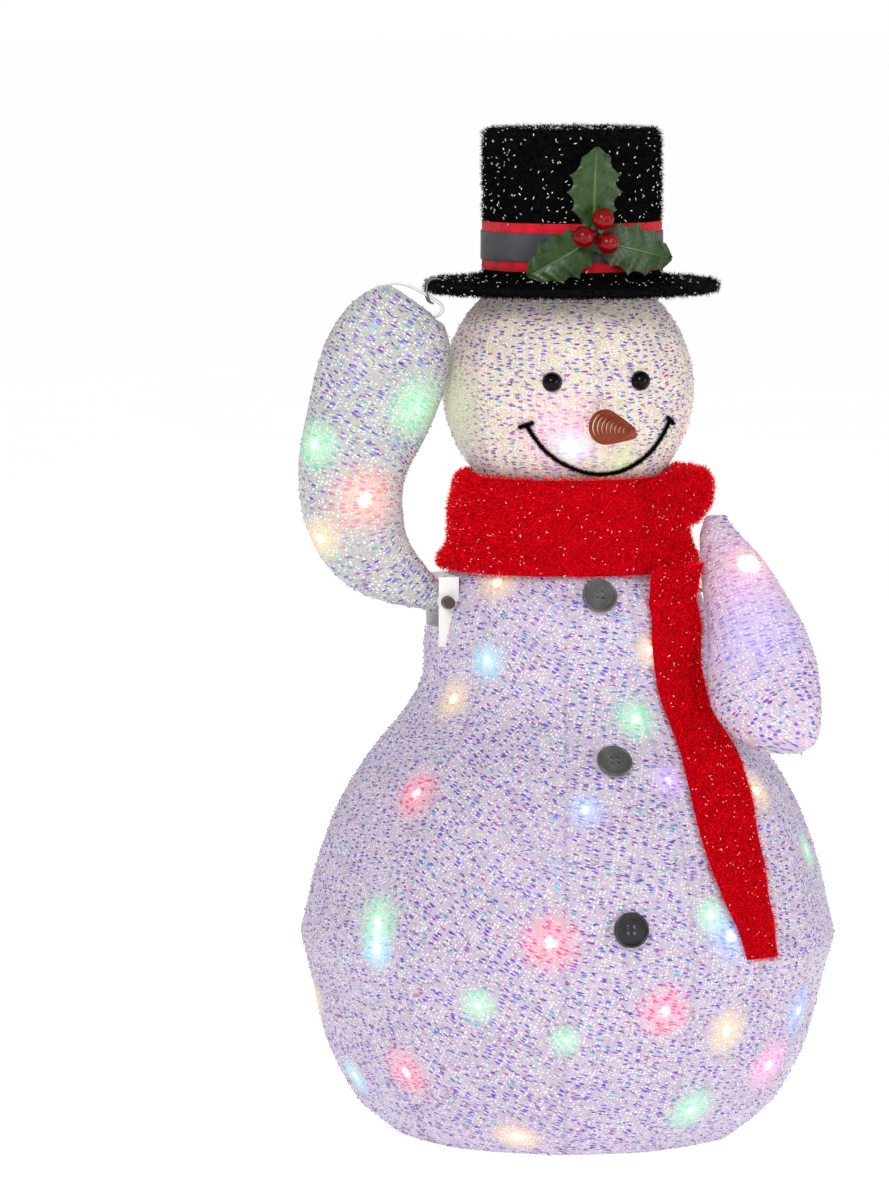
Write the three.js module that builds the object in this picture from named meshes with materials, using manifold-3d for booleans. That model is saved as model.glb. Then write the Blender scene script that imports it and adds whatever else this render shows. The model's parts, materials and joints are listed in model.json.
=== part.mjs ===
// Animated wire-frame yard snowman, 1.2 m tall: a cloth-covered steel frame whose raised arm tips the top hat.
// Millimetres, +Z up, the front faces -Y. The origin is the middle of the base, on the floor.
// Two pieces of the object that touch keep a small gap, so that each one stays a solid of its own.
import * as THREE from "three";
import { mergeVertices } from "three/addons/utils/BufferGeometryUtils.js";
import Module from "manifold-3d";

const wasm = await Module();
wasm.setup();

// ---- Driving dimensions -------------------------------------------------------------------------
const GAP = 0.4; // between pieces that touch
const WIRE = 2.5; // radius of the frame wire
const CLOTH = 2; // thickness of the covering cloth
const WIRE_INSET = CLOTH + WIRE + 6; // from the cloth's outer face to a frame wire's centre

const BASE_RADIUS = 198; // centreline of the base ring
const BASE_WIRE = 3;
const COVER_SEGMENTS = 24;
// [height, radius] up the pear-shaped body
const BODY_PROFILE = [
  [1.5, 206], [36, 250], [64, 270], [110, 293], [160, 307], [240, 321], [316, 310], [394, 282], [457, 243],
  [510, 199], [550, 177], [600, 172], [640, 165], [672, 149], [705, 124], [735, 104],
];
const BODY_RINGS = [240, 590, 731]; // heights of the frame's level rings
const RIB_ANGLES = [14, 50, 90, 130, 166, -14, -50, -90, -130, -166]; // degrees round from the front, + to +X
const SHORT_RIB = -90; // this rib stops at the torso ring, below the arm's opening

const HEAD_RADIUS = 150;
const HEAD_Z = 895;
const HEAD_TOP = 1009; // the flat that the hat sits on
const HEAD_BOTTOM = HEAD_Z - 0.733 * HEAD_RADIUS; // the open neck
const HEAD_RIBS = [0, 60, 120, 180, 240, 300];

const PIVOT = { x: -161, z: 646 }; // the raised arm's axle, along Y
const AXLE_RADIUS = 4;
const RUNNING_GAP = 0.15; // radial, round a turning shaft
const ARM_Y = -19; // the raised arm's middle plane
const LEVER_REST = -13.5; // degrees above level when the hat is down; the arm swings through twice this
const CRANK_DISTANCE = 38; // from the axle to the motor's output shaft
const CRANK_THROW = CRANK_DISTANCE * Math.sin(rad(-LEVER_REST));

const TOOTH_MODULE = 1;
const WHEEL_TEETH = 24;
const PINION_TEETH = 8;
const GEAR_CENTRES = (TOOTH_MODULE * (WHEEL_TEETH + PINION_TEETH)) / 2;

const HAT_X = 4;
const CROWN_RADIUS = 106;
const CROWN_TOP = 1205;
const BRIM_RADIUS = 177;
const BRIM_BOTTOM = 1012;
const BRIM_THICKNESS = 12;
const BRIM_TOP = BRIM_BOTTOM + BRIM_THICKNESS;
const BAND_BOTTOM = 1038;
const BAND_HEIGHT = 58;
const STRIPE_HEIGHT = 34;
const STRIPE_BOTTOM = BAND_BOTTOM + (BAND_HEIGHT - STRIPE_HEIGHT) / 2;

const SIMPLIFY = 0.03; // how far a join may move a surface to drop slivers

// ---- Colours and finishes -----------------------------------------------------------------------
const finish = (color, roughness, metalness = 0) => new THREE.MeshStandardMaterial({ color, roughness, metalness });
const crystalCloth = finish(0xe6e0ea, 0.45);
const redTinsel = finish(0xc4000c, 0.5);
const blackTinsel = finish(0x0b0b0d, 0.45);
const whiteSteel = finish(0xecebe8, 0.4, 0.1);
const blackSteel = finish(0x151515, 0.45, 0.2);
const zincSteel = finish(0xb8bbc0, 0.35, 0.9);
const whitePlastic = finish(0xf0efec, 0.5);
const greyPlastic = finish(0x9b9da1, 0.55);
const blackGloss = finish(0x08080a, 0.12);
const copperCord = finish(0xa4562c, 0.4);
const creamPlastic = finish(0xf3dfb4, 0.5);
const ribbonRed = finish(0xd0101c, 0.7);
const satinGrey = finish(0x5d5c63, 0.5);
const leafGreen = finish(0x2c4a26, 0.4);
const berryRed = finish(0xa80a14, 0.15);
const brownRubber = finish(0x43201a, 0.7);
const clearWire = finish(0xd9dcd8, 0.35);

// ---- Small tools --------------------------------------------------------------------------------
function rad(degrees) {
  return (degrees * Math.PI) / 180;
}

function at(x, y, z) {
  return new THREE.Vector3(x, y, z);
}

// A point at a radius and height, some degrees round from the front.
function polar(radius, degrees, z) {
  return at(radius * Math.sin(rad(degrees)), -radius * Math.cos(rad(degrees)), z);
}

// The value of a [key, value] table at a key, in straight lines between its rows.
function lookUp(table, key) {
  let i = 1;
  while (i < table.length - 1 && table[i][0] < key) i += 1;
  const [k0, v0] = table[i - 1];
  const [k1, v1] = table[i];
  return v0 + ((v1 - v0) * (key - k0)) / (k1 - k0);
}

const bodyRadius = (z) => lookUp(BODY_PROFILE, z);
const headRadius = (z) => Math.sqrt(HEAD_RADIUS ** 2 - (z - HEAD_Z) ** 2);

// A closed geometry as a manifold-3d solid, its shared vertices merged.
function solid(geometry) {
  const bare = new THREE.BufferGeometry();
  bare.setAttribute("position", geometry.getAttribute("position"));
  if (geometry.index) bare.setIndex(geometry.index);
  const merged = mergeVertices(bare, 1e-4);
  return new wasm.Manifold(
    new wasm.Mesh({
      numProp: 3,
      vertProperties: new Float32Array(merged.attributes.position.array),
      triVerts: new Uint32Array(merged.index.array),
    }),
  );
}

// A solid's triangles as a geometry.
function geometryOf(body) {
  const mesh = body.simplify(SIMPLIFY).getMesh();
  const geometry = new THREE.BufferGeometry();
  geometry.setAttribute("position", new THREE.BufferAttribute(new Float32Array(mesh.vertProperties), 3));
  geometry.setIndex(new THREE.BufferAttribute(new Uint32Array(mesh.triVerts), 1));
  geometry.computeVertexNormals();
  return geometry;
}

function union(geometries) {
  return geometryOf(geometries.map(solid).reduce((all, one) => all.add(one)));
}

function cut(geometry, tools) {
  return geometryOf(tools.map(solid).reduce((body, tool) => body.subtract(tool), solid(geometry)));
}

function named(name, geometry, material) {
  const mesh = new THREE.Mesh(geometry, material);
  mesh.name = name;
  return mesh;
}

function box(x0, x1, y0, y1, z0, z1) {
  return new THREE.BoxGeometry(x1 - x0, y1 - y0, z1 - z0)
    .translate((x0 + x1) / 2, (y0 + y1) / 2, (z0 + z1) / 2);
}

// A round bar along Y.
function barY(radius, y0, y1, x, z, sides = 20) {
  return new THREE.CylinderGeometry(radius, radius, y1 - y0, sides).translate(x, (y0 + y1) / 2, z);
}

// A wire along a smooth curve through some points.
function wire(points, radius = WIRE, steps = 8, sides = 4) {
  const section = new THREE.Shape();
  for (let i = 0; i < sides; i += 1) {
    const turn = (2 * Math.PI * i) / sides;
    const [x, y] = [radius * Math.cos(turn), radius * Math.sin(turn)];
    if (i === 0) section.moveTo(x, y);
    else section.lineTo(x, y);
  }
  section.closePath();
  const extrudePath = new THREE.CatmullRomCurve3(points, false, "centripetal");
  return new THREE.ExtrudeGeometry(section, { steps, extrudePath, bevelEnabled: false });
}

// A level wire ring.
function ring(radius, z, segments = 20) {
  return new THREE.TorusGeometry(radius, WIRE, 4, segments).translate(0, 0, z);
}

// A body of revolution about Z from a closed [radius, height] outline, drawn anticlockwise.
function turned(outline, segments = COVER_SEGMENTS) {
  const points = outline.map(([r, z]) => new THREE.Vector2(r, z));
  const onAxis = outline[0][0] === 0 && outline.at(-1)[0] === 0;
  if (!onAxis) points.push(points[0].clone());
  return new THREE.LatheGeometry(points, segments).rotateX(Math.PI / 2);
}

// A closed geometry over rings of points: wall faces from ring to ring, and a fan over each end.
function skinOver(rings) {
  const n = rings[0].length;
  const position = rings.flat().flatMap((p) => [p.x, p.y, p.z]);
  const index = [];
  for (let k = 0; k < rings.length - 1; k += 1) {
    for (let i = 0; i < n; i += 1) {
      const [a, b] = [k * n + i, k * n + ((i + 1) % n)];
      index.push(a, b, b + n, a, b + n, a + n);
    }
  }
  for (const [k, flip] of [[0, true], [rings.length - 1, false]]) {
    const middle = rings[k].reduce((sum, p) => sum.add(p), at(0, 0, 0)).divideScalar(n);
    position.push(middle.x, middle.y, middle.z);
    const m = position.length / 3 - 1;
    for (let i = 0; i < n; i += 1) {
      const [a, b] = [k * n + i, k * n + ((i + 1) % n)];
      index.push(...(flip ? [m, b, a] : [m, a, b]));
    }
  }
  const geometry = new THREE.BufferGeometry();
  geometry.setAttribute("position", new THREE.Float32BufferAttribute(position, 3));
  geometry.setIndex(index);
  return geometry;
}

// The outline ring of a limb's section, drawn in by an inset.
function sectionRing({ centre, across, deep, a, b }, inset, sides) {
  return Array.from({ length: sides }, (_, i) => {
    const turn = (2 * Math.PI * i) / sides;
    return centre.clone()
      .addScaledVector(across, Math.max(a - inset, 1) * Math.cos(turn))
      .addScaledVector(deep, Math.max(b - inset, 1) * Math.sin(turn));
  });
}

// A limb's cloth: a hollow sleeve over its sections, open at the start, and closed at the end if asked.
function sleeve(sections, sides = 16) {
  const outer = skinOver(sections.map((s) => sectionRing(s, 0, sides)));
  const core = sections.slice(0, -1).map((s) => sectionRing(s, CLOTH, sides));
  const beyond = core[0].map((p) => p.clone().add(sections[0].centre).sub(sections[1].centre));
  return cut(outer, [skinOver([beyond, ...core])]);
}

// A frame wire that runs along a limb's sections at a turn round them.
function limbWire(sections, turn) {
  const points = sections.map(({ centre, across, deep, a, b }) => centre.clone()
    .addScaledVector(across, Math.max(a - WIRE_INSET, 4) * Math.cos(turn))
    .addScaledVector(deep, Math.max(b - WIRE_INSET, 4) * Math.sin(turn)));
  return wire(points);
}

// A closed frame hoop inside one section of a limb.
function limbHoop(section) {
  const hoop = sectionRing(section, WIRE_INSET, 12);
  const curve = new THREE.CatmullRomCurve3(hoop, true, "centripetal");
  return new THREE.TubeGeometry(curve, 12, WIRE, 4, true);
}

// ---- Body ---------------------------------------------------------------------------------------
const ARM_OPENING = { x0: -200, x1: -110, y0: -78, y1: 32, z0: 592, z1: 678 };
const HOOK_SECTIONS = [3, 4]; // the hanging arm's sections that its two hooks start from
const HOOK_TURN = 3.5; // degrees that each hook leans round, clear of the nearest rib
const HOLE_GAP = 1; // round a wire that passes through the cloth
const INLET = { radius: 8, z: 24, angle: 158 };

function bodyCover() {
  const inner = BODY_PROFILE.map(([z, r]) => [r - CLOTH, z]).reverse();
  const shell = turned([...BODY_PROFILE.map(([z, r]) => [r, z]), ...inner]);
  const o = ARM_OPENING;
  const hookHoles = armHooks(hanging, WIRE + HOLE_GAP);
  const inletHole = new THREE.CylinderGeometry(INLET.radius + 5, INLET.radius + 5, 60, 16)
    .rotateZ(rad(INLET.angle))
    .translate(...polar(bodyRadius(INLET.z), INLET.angle, INLET.z).toArray());
  return cut(shell, [box(o.x0, o.x1, o.y0, o.y1, o.z0, o.z1), ...hookHoles, inletHole]);
}

function rib(degrees) {
  const top = degrees === SHORT_RIB ? BODY_RINGS[1] : BODY_RINGS.at(-1);
  const heights = BODY_PROFILE.map(([z]) => z).filter((z) => z > 20 && z < top - 8);
  const foot = polar(BASE_RADIUS + 2, degrees, BASE_WIRE * 2 + WIRE + 1.5);
  const points = [foot, ...[...heights, top].map((z) => polar(bodyRadius(z) - WIRE_INSET, degrees, z))];
  return wire(points, WIRE, degrees === SHORT_RIB ? 11 : 13);
}

function bodyFrame() {
  const rings = BODY_RINGS.map((z) => ring(bodyRadius(z) - WIRE_INSET, z));
  return union([...RIB_ANGLES.map(rib), ...rings]);
}

// The base ring with its cross-brace. An eight-sided wire turned by half a side gives it a flat underside.
function baseRing() {
  const sides = 8;
  const flat = BASE_WIRE / Math.cos(Math.PI / sides);
  const outline = Array.from({ length: sides }, (_, i) => {
    const turn = (2 * Math.PI * (i + 0.5)) / sides;
    return [BASE_RADIUS + flat * Math.cos(turn), BASE_WIRE + flat * Math.sin(turn)];
  });
  const brace = (turn) => new THREE.CylinderGeometry(flat, flat, 2 * BASE_RADIUS, sides)
    .rotateY(Math.PI / sides)
    .rotateZ(rad(turn)).translate(0, 0, BASE_WIRE);
  return union([turned(outline, 32), brace(0), brace(90)]);
}

// ---- Head ---------------------------------------------------------------------------------------
const EYE = { angle: 20.8, z: HEAD_Z + 17, dome: 11.5, stem: 2.3 };

function headHeights(low, high, rows) {
  const angle = (z) => Math.asin((z - HEAD_Z) / HEAD_RADIUS);
  return Array.from({ length: rows }, (_, i) => {
    const turn = angle(low) + ((angle(high) - angle(low)) * i) / (rows - 1);
    return HEAD_Z + HEAD_RADIUS * Math.sin(turn);
  });
}

function headCover() {
  const heights = headHeights(HEAD_BOTTOM, HEAD_TOP, 9);
  const outer = heights.map((z) => [headRadius(z), z]);
  const inner = outer.map(([r, z]) => [r - CLOTH, z]).reverse();
  inner[0][1] -= CLOTH;
  const shell = turned([[0, HEAD_TOP - CLOTH], ...inner, ...outer, [0, HEAD_TOP]]);
  const stems = [-EYE.angle, EYE.angle].map((angle) => {
    const place = polar(HEAD_RADIUS - 4, angle, EYE.z);
    return new THREE.CylinderGeometry(EYE.stem + GAP, EYE.stem + GAP, 40, 10).rotateZ(rad(angle))
      .translate(place.x, place.y, place.z);
  });
  return cut(shell, stems);
}

function headFrame() {
  const heights = headHeights(HEAD_BOTTOM + 6, HEAD_TOP - 6, 7);
  const scale = (HEAD_RADIUS - WIRE_INSET) / HEAD_RADIUS;
  const onFrame = (angle, z) => polar(headRadius(z) * scale, angle, HEAD_Z + (z - HEAD_Z) * scale);
  const ribs = HEAD_RIBS.map((angle) => wire(heights.map((z) => onFrame(angle, z)), WIRE, 6));
  const rings = [heights[0], HEAD_Z, heights.at(-1)].map((z) => {
    const reach = onFrame(90, z);
    return ring(reach.x, reach.z, 18);
  });
  const neck = BODY_RINGS.at(-1);
  const ankle = bodyRadius(neck) - WIRE_INSET - 2 * WIRE - 2 * GAP;
  const throat = Math.min(ankle, headRadius(HEAD_BOTTOM) - WIRE_INSET - WIRE);
  const posts = [45, 135, 225, 315].map((angle) =>
    wire([
      onFrame(angle, heights[0]), polar(throat, angle, HEAD_BOTTOM - 8), polar(ankle, angle, neck - 6),
    ], WIRE, 3));
  return union([...ribs, ...rings, ...posts]);
}

function eye(side) {
  const dome = new THREE.SphereGeometry(EYE.dome, 14, 9);
  const stem = new THREE.CylinderGeometry(EYE.stem, EYE.stem, 22, 10).translate(0, -9, 0);
  const body = cut(dome, [box(-20, 20, -20, -2.5, -20, 20)]);
  const mesh = named(side < 0 ? "eye_left" : "eye_right", union([body, stem]), blackGloss);
  mesh.position.copy(polar(HEAD_RADIUS + 1.5, side * EYE.angle, EYE.z));
  mesh.rotation.z = Math.PI + rad(side * EYE.angle);
  return mesh;
}

const NOSE = { angle: 2, yaw: 5, z: HEAD_Z - 36, radius: 17.5, length: 104, tip: 2.5, cord: 5.5 };

// The nose cone and, as a sleeve over it, the outer shape of the cord wound round it.
function nose() {
  const group = new THREE.Group();
  const { radius, length, tip, cord } = NOSE;
  const core = turned([[0, 0], [radius, 0], [tip, length], [0, length]], 20);
  const wound = turned([
    [radius + GAP, 0], [radius + cord, 0.5], [radius * 0.55 + cord, length * 0.45], [tip + cord, length],
    [tip + GAP, length],
  ], 20);
  group.add(named("nose_core", core, creamPlastic), named("nose_winding", wound, copperCord));
  group.position.copy(polar(HEAD_RADIUS + 3, NOSE.angle, NOSE.z));
  group.rotation.set(Math.PI / 2, 0, rad(NOSE.yaw), "ZXY");
  return group;
}

// [degrees round from the front, height] of the smile, and the short strokes across its ends
const SMILE = [[-33, 861], [-25, 831], [-12.5, 811], [3.5, 802], [20, 807], [33, 828], [40.5, 862]];
const SMILE_CORD = 1.9;
const MOUTH_STROKES = [[[-36.5, 858], [-29.5, 864]], [[38, 867], [43.5, 859]]];

function mouth() {
  const onHead = ([angle, z]) => polar(headRadius(z), angle, z).sub(at(0, 0, HEAD_Z))
    .setLength(HEAD_RADIUS + SMILE_CORD + 1).add(at(0, 0, HEAD_Z));
  const strokes = MOUTH_STROKES.map((ends) => wire(ends.map(onHead), SMILE_CORD * 1.2, 2));
  return union([wire(SMILE.map(onHead), SMILE_CORD, 20, 5), ...strokes]);
}

// ---- Scarf --------------------------------------------------------------------------------------
// [radius, height] round the wrap's section
const WRAP_OUTLINE = [
  [153, 682], [158, 686], [156, 694], [148, 708], [144, 732], [142, 765], [139, 785], [131, 793], [119, 792],
  [112, 782], [112, 745], [117, 729], [133, 708], [147, 692],
];
const FOLD = { angle: 77, spread: 20, z: 770, halfHeight: 36, swell: 33, lift: 9 }; // where the end is tucked in

function scarfWrap() {
  const segments = 26;
  const rings = Array.from({ length: segments }, (_, k) => {
    const angle = (360 * k) / segments;
    const off = ((angle - FOLD.angle + 540) % 360) - 180;
    const reach = Math.exp(-((off / FOLD.spread) ** 2));
    return WRAP_OUTLINE.map(([r, z]) => {
      const up = Math.max(0, 1 - ((z - FOLD.z) / FOLD.halfHeight) ** 2);
      const outer = r > 135 ? 1 : 0;
      const lift = r > 125 && z > 780 ? FOLD.lift * reach : 0;
      return polar(r + outer * FOLD.swell * reach * Math.sqrt(up), angle, z + lift);
    });
  });
  const n = WRAP_OUTLINE.length;
  const position = rings.flat().flatMap((p) => [p.x, p.y, p.z]);
  const index = [];
  for (let k = 0; k < segments; k += 1) {
    const next = (k + 1) % segments;
    for (let i = 0; i < n; i += 1) {
      const j = (i + 1) % n;
      index.push(k * n + i, next * n + i, next * n + j, k * n + i, next * n + j, k * n + j);
    }
  }
  const geometry = new THREE.BufferGeometry();
  geometry.setAttribute("position", new THREE.Float32BufferAttribute(position, 3));
  geometry.setIndex(index);
  return geometry;
}

// [height, degrees round from the front, width] down the hanging end
const TAIL = [
  [676, 38.4, 94], [640, 38.2, 92], [600, 36.4, 90], [560, 36.6, 86], [520, 36, 86], [486, 34.5, 92],
  [455, 32.3, 99], [410, 29.2, 94], [368, 28.2, 87], [312, 29, 72], [275, 30.7, 58], [240, 32, 52],
];
const TAIL_THICK = 8;
const TAIL_CLEAR = 3.5; // from the body cloth

function scarfTail() {
  const across = [-1, -0.5, 0, 0.5, 1];
  const rings = TAIL.map(([z, angle, width]) => {
    const low = bodyRadius(Math.min(z, 664)) + TAIL_CLEAR;
    const place = (u, radius) => polar(radius, angle + THREE.MathUtils.radToDeg((u * width) / 2 / radius), z);
    return [
      ...across.map((u) => place(u, low)),
      ...across.toReversed().map((u) => place(u, low + TAIL_THICK * (1 - 0.35 * u * u))),
    ];
  });
  return skinOver(rings);
}

// ---- Buttons ------------------------------------------------------------------------------------
const BUTTON = { radius: 21, thick: 5, rim: 3.5, hole: 2.3, spacing: 4.6 };
const BUTTON_HEIGHTS = { button_top: 659, button_middle: 471, button_bottom: 284 };

function button(name, z) {
  const { radius, thick, rim, hole, spacing } = BUTTON;
  const outline = [
    [0, 0], [radius - 1, 0], [radius, 1.5], [radius, thick - 1.2], [radius - 1.2, thick],
    [radius - rim + 0.8, thick], [radius - rim, thick - 1.6], [0, thick - 1.8],
  ];
  const holes = [45, 135, 225, 315].map((turn) => new THREE.CylinderGeometry(hole, hole, 20, 8)
    .rotateX(Math.PI / 2)
    .translate(spacing * Math.cos(rad(turn)), spacing * Math.sin(rad(turn)), 0));
  const mesh = named(name, cut(turned(outline, 18), holes), blackGloss);
  const slope = (bodyRadius(z + 12) - bodyRadius(z - 12)) / 24;
  mesh.position.set(0, -(bodyRadius(z) + 2.5), z);
  mesh.rotation.x = Math.PI / 2 + Math.atan(slope);
  return mesh;
}

// ---- Limbs --------------------------------------------------------------------------------------
// [x, z, half width, half depth] up the raised arm, from the axle to the hand
const RAISED_ARM = [
  [-175, 653, 20, 20], [-200, 667, 30, 25], [-232, 690, 44, 31], [-254, 718, 54, 37], [-267, 755, 60, 41],
  [-269, 795, 64, 44], [-262, 830, 68, 46], [-245, 877, 75, 47], [-227, 930, 77, 45], [-212, 970, 67, 39],
  [-201, 995, 49, 28], [-196, 1003, 31, 18],
];

function raisedArmSections() {
  return RAISED_ARM.map(([x, z, a, b], i) => {
    const near = RAISED_ARM[Math.max(i - 1, 0)];
    const far = RAISED_ARM[Math.min(i + 1, RAISED_ARM.length - 1)];
    const along = at(far[0] - near[0], 0, far[1] - near[1]).normalize();
    return { centre: at(x, ARM_Y, z), across: at(along.z, 0, -along.x), deep: at(0, 1, 0), a, b };
  });
}

// [x, y, z, half width, half depth] down the hanging arm, from the shoulder to the hand
const HANGING_ARM = [
  [169, -54, 741, 12, 12], [171, -62, 722, 23, 20], [181, -81, 692, 37, 28], [189, -105, 657, 48, 34],
  [198, -131, 617, 57, 37], [199, -158, 574, 65, 39], [197, -181, 535, 66, 37], [198, -193, 516, 62, 34],
  [202, -201, 500, 55, 29], [208, -205, 484, 42, 21], [212, -207, 473, 22, 11],
];

function hangingArmSections() {
  const across = at(Math.cos(rad(12.5)), -Math.sin(rad(12.5)), 0);
  return HANGING_ARM.map(([x, y, z, a, b], i) => {
    const near = HANGING_ARM[Math.max(i - 1, 0)];
    const far = HANGING_ARM[Math.min(i + 1, HANGING_ARM.length - 1)];
    const along = at(far[0] - near[0], far[1] - near[1], far[2] - near[2]).normalize();
    return { centre: at(x, y, z), across, deep: along.clone().cross(across).normalize(), a, b };
  });
}

function limbFrame(sections, hoops, extras) {
  const turns = [0, 0.5, 1, 1.5].map((t) => t * Math.PI);
  const inner = sections.slice(0, -2);
  const wires = turns.map((t) => limbWire(inner, t));
  return union([...wires, ...hoops.map((i) => limbHoop(sections[i])), ...extras]);
}

// Two short wires from the hub to the foot of the raised arm's frame.
function armRoots(section) {
  return [-1, 1].map((side) => {
    const foot = section.centre.clone().addScaledVector(section.deep, side * (section.b - WIRE_INSET));
    const hub = at(PIVOT.x, foot.y, PIVOT.z);
    const start = foot.clone().sub(hub).setLength(HUB.radius + GAP + 0.6).add(hub);
    return wire([start, foot], WIRE, 1);
  });
}

// Two wires from the hanging arm's frame, straight in through the cloth of the arm and the body.
function armHooks(sections, radius) {
  return HOOK_SECTIONS.map((i) => {
    const { centre, across, a } = sections[i];
    const from = centre.clone().addScaledVector(across, -(a - WIRE_INSET));
    const tip = from.clone().setZ(0).setLength(bodyRadius(from.z) - WIRE_INSET - 4)
      .applyAxisAngle(at(0, 0, 1), rad(HOOK_TURN)).setZ(from.z);
    return wire([from, tip], radius, 1);
  });
}

// ---- The arm's pivot and drive ------------------------------------------------------------------
const EAR = { x0: -171, x1: -147, y0: -57, y1: -54.5 };
const PLATE = { x0: -171, x1: -72, y0: 14, y1: 16.5 };
const HUB = { y0: -50, y1: 8, radius: 8 };
const LEVER = { y0: 1, y1: 4, reach: 55, width: 17, slot: 4.2, slotFrom: 36, slotTo: 48 };
const CRANK_X = PIVOT.x + CRANK_DISTANCE;
const IDLER_X = CRANK_X + GEAR_CENTRES;
const MOTOR_X = IDLER_X + GEAR_CENTRES;
const GEARBOX = {
  x0: CRANK_X - 21, x1: MOTOR_X + 16, z0: PIVOT.z - 17, z1: PIVOT.z + 17,
  y0: 17, split: 30, y1: 43, wall: 1.8, end: 7,
};
const SCREW_PLACES = [GEARBOX.x0 + 3.5, GEARBOX.x1 - 3.5]
  .flatMap((x) => [[x, PIVOT.z - 13], [x, PIVOT.z + 13]]);
const SCREW = 1.5;
const OUTPUT_SHAFT = 3.5;
const IDLER_AXLE = 1.5;
const MOTOR_RADIUS = 13.5;

function armBracket() {
  const webs = [[598, 618], [664, 676]]
    .map(([z0, z1]) => box(EAR.x1 - 2.5, EAR.x1, EAR.y0 + 1, PLATE.y0 + 1, z0, z1));
  const body = union([
    box(EAR.x0, EAR.x1, EAR.y0, EAR.y1, 593.2, 676),
    box(PLATE.x0, PLATE.x1, PLATE.y0, PLATE.y1, 626, 668),
    box(EAR.x0, EAR.x1, PLATE.y0, PLATE.y1, 593.2, 676),
    ...webs,
  ]);
  return cut(body, [
    barY(AXLE_RADIUS + GAP, -80, 40, PIVOT.x, PIVOT.z),
    barY(OUTPUT_SHAFT + 3, 10, 30, CRANK_X, PIVOT.z),
    ...SCREW_PLACES.map(([x, z]) => barY(SCREW + GAP, 10, 30, x, z, 8)),
  ]);
}

function armHub() {
  return cut(barY(HUB.radius, HUB.y0, HUB.y1, PIVOT.x, PIVOT.z, 24), [
    barY(AXLE_RADIUS + RUNNING_GAP, -80, 40, PIVOT.x, PIVOT.z),
  ]);
}

// The lever turns with the arm. Its slot holds the crank pin, and is wide enough for the pin's path.
function slottedLever() {
  const { y0, y1, reach, width, slot, slotFrom, slotTo } = LEVER;
  const bar = union([barY(13, y0, y1, 0, 0, 24), box(0, reach, y0, y1, -width / 2, width / 2)]);
  const opening = [
    barY(slot, y0 - 1, y1 + 1, slotFrom, 0, 16), barY(slot, y0 - 1, y1 + 1, slotTo, 0, 16),
    box(slotFrom, slotTo, y0 - 1, y1 + 1, -slot, slot), barY(HUB.radius + GAP, y0 - 1, y1 + 1, 0, 0, 24),
  ];
  const mesh = named("slotted_lever", cut(bar, opening), zincSteel);
  mesh.position.set(PIVOT.x, 0, PIVOT.z);
  mesh.rotation.y = rad(-LEVER_REST);
  return mesh;
}

// The crank disc on the output shaft, with the pin that drives the lever.
function crank() {
  const start = rad(-90 + LEVER_REST);
  const pin = barY(1.8, -0.5, 8, CRANK_THROW * Math.cos(start), CRANK_THROW * Math.sin(start), 12);
  const disc = barY(12, 6.5, 10.5, 0, 0, 24);
  const bored = cut(union([disc, pin]), [barY(OUTPUT_SHAFT + 0.1, 8, 12, 0, 0, 16)]);
  const mesh = named("crank", bored, whitePlastic);
  mesh.position.set(CRANK_X, 0, PIVOT.z);
  return mesh;
}

// A toothed wheel's outline with room for backlash.
function gearShape(teeth, phase) {
  const pitch = (TOOTH_MODULE * teeth) / 2;
  const step = (2 * Math.PI) / teeth;
  // [share of a tooth's pitch from its middle, radius] up one flank
  const flank = [[0.29, pitch - 1.15 * TOOTH_MODULE], [0.205, pitch], [0.09, pitch + 0.8 * TOOTH_MODULE]];
  const points = [];
  for (let t = 0; t < teeth; t += 1) {
    const tooth = [...flank.map(([s, r]) => [-s, r]), ...flank.toReversed()];
    tooth.forEach(([s, r]) => {
      const turn = phase + (t + s) * step;
      points.push(new THREE.Vector2(r * Math.cos(turn), r * Math.sin(turn)));
    });
  }
  return new THREE.Shape(points);
}

// A gear along Y, its shape drawn in X and Z.
function gear(teeth, y0, y1, phase = 0) {
  return new THREE.ExtrudeGeometry(gearShape(teeth, phase), { depth: y1 - y0, bevelEnabled: false })
    .rotateX(Math.PI / 2).translate(0, y1, 0);
}

// The train's phases put a gap of one gear opposite a tooth of the next, in line along X.
const HALF_WHEEL_TOOTH = Math.PI / WHEEL_TEETH;

function outputGear() {
  const wheel = gear(WHEEL_TEETH, 19.4, 23.4, HALF_WHEEL_TOOTH);
  const body = union([wheel, barY(OUTPUT_SHAFT, 8.3, 24.9, 0, 0, 16)]);
  const mesh = named("output_gear", body, whitePlastic);
  mesh.position.set(CRANK_X, 0, PIVOT.z);
  return mesh;
}

function idlerGear() {
  const body = union([gear(PINION_TEETH, 19.3, 25.9), gear(WHEEL_TEETH, 25.7, 29.6, HALF_WHEEL_TOOTH)]);
  const bored = cut(body, [barY(IDLER_AXLE + RUNNING_GAP, 15, 40, 0, 0, 12)]);
  const mesh = named("idler_gear", bored, whitePlastic);
  mesh.position.set(IDLER_X, 0, PIVOT.z);
  return mesh;
}

function motorPinion() {
  const body = union([gear(PINION_TEETH, 25.7, 31), barY(IDLER_AXLE, 30, 52, 0, 0, 12)]);
  const mesh = named("motor_pinion", body, zincSteel);
  mesh.position.set(MOTOR_X, 0, PIVOT.z);
  return mesh;
}

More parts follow.
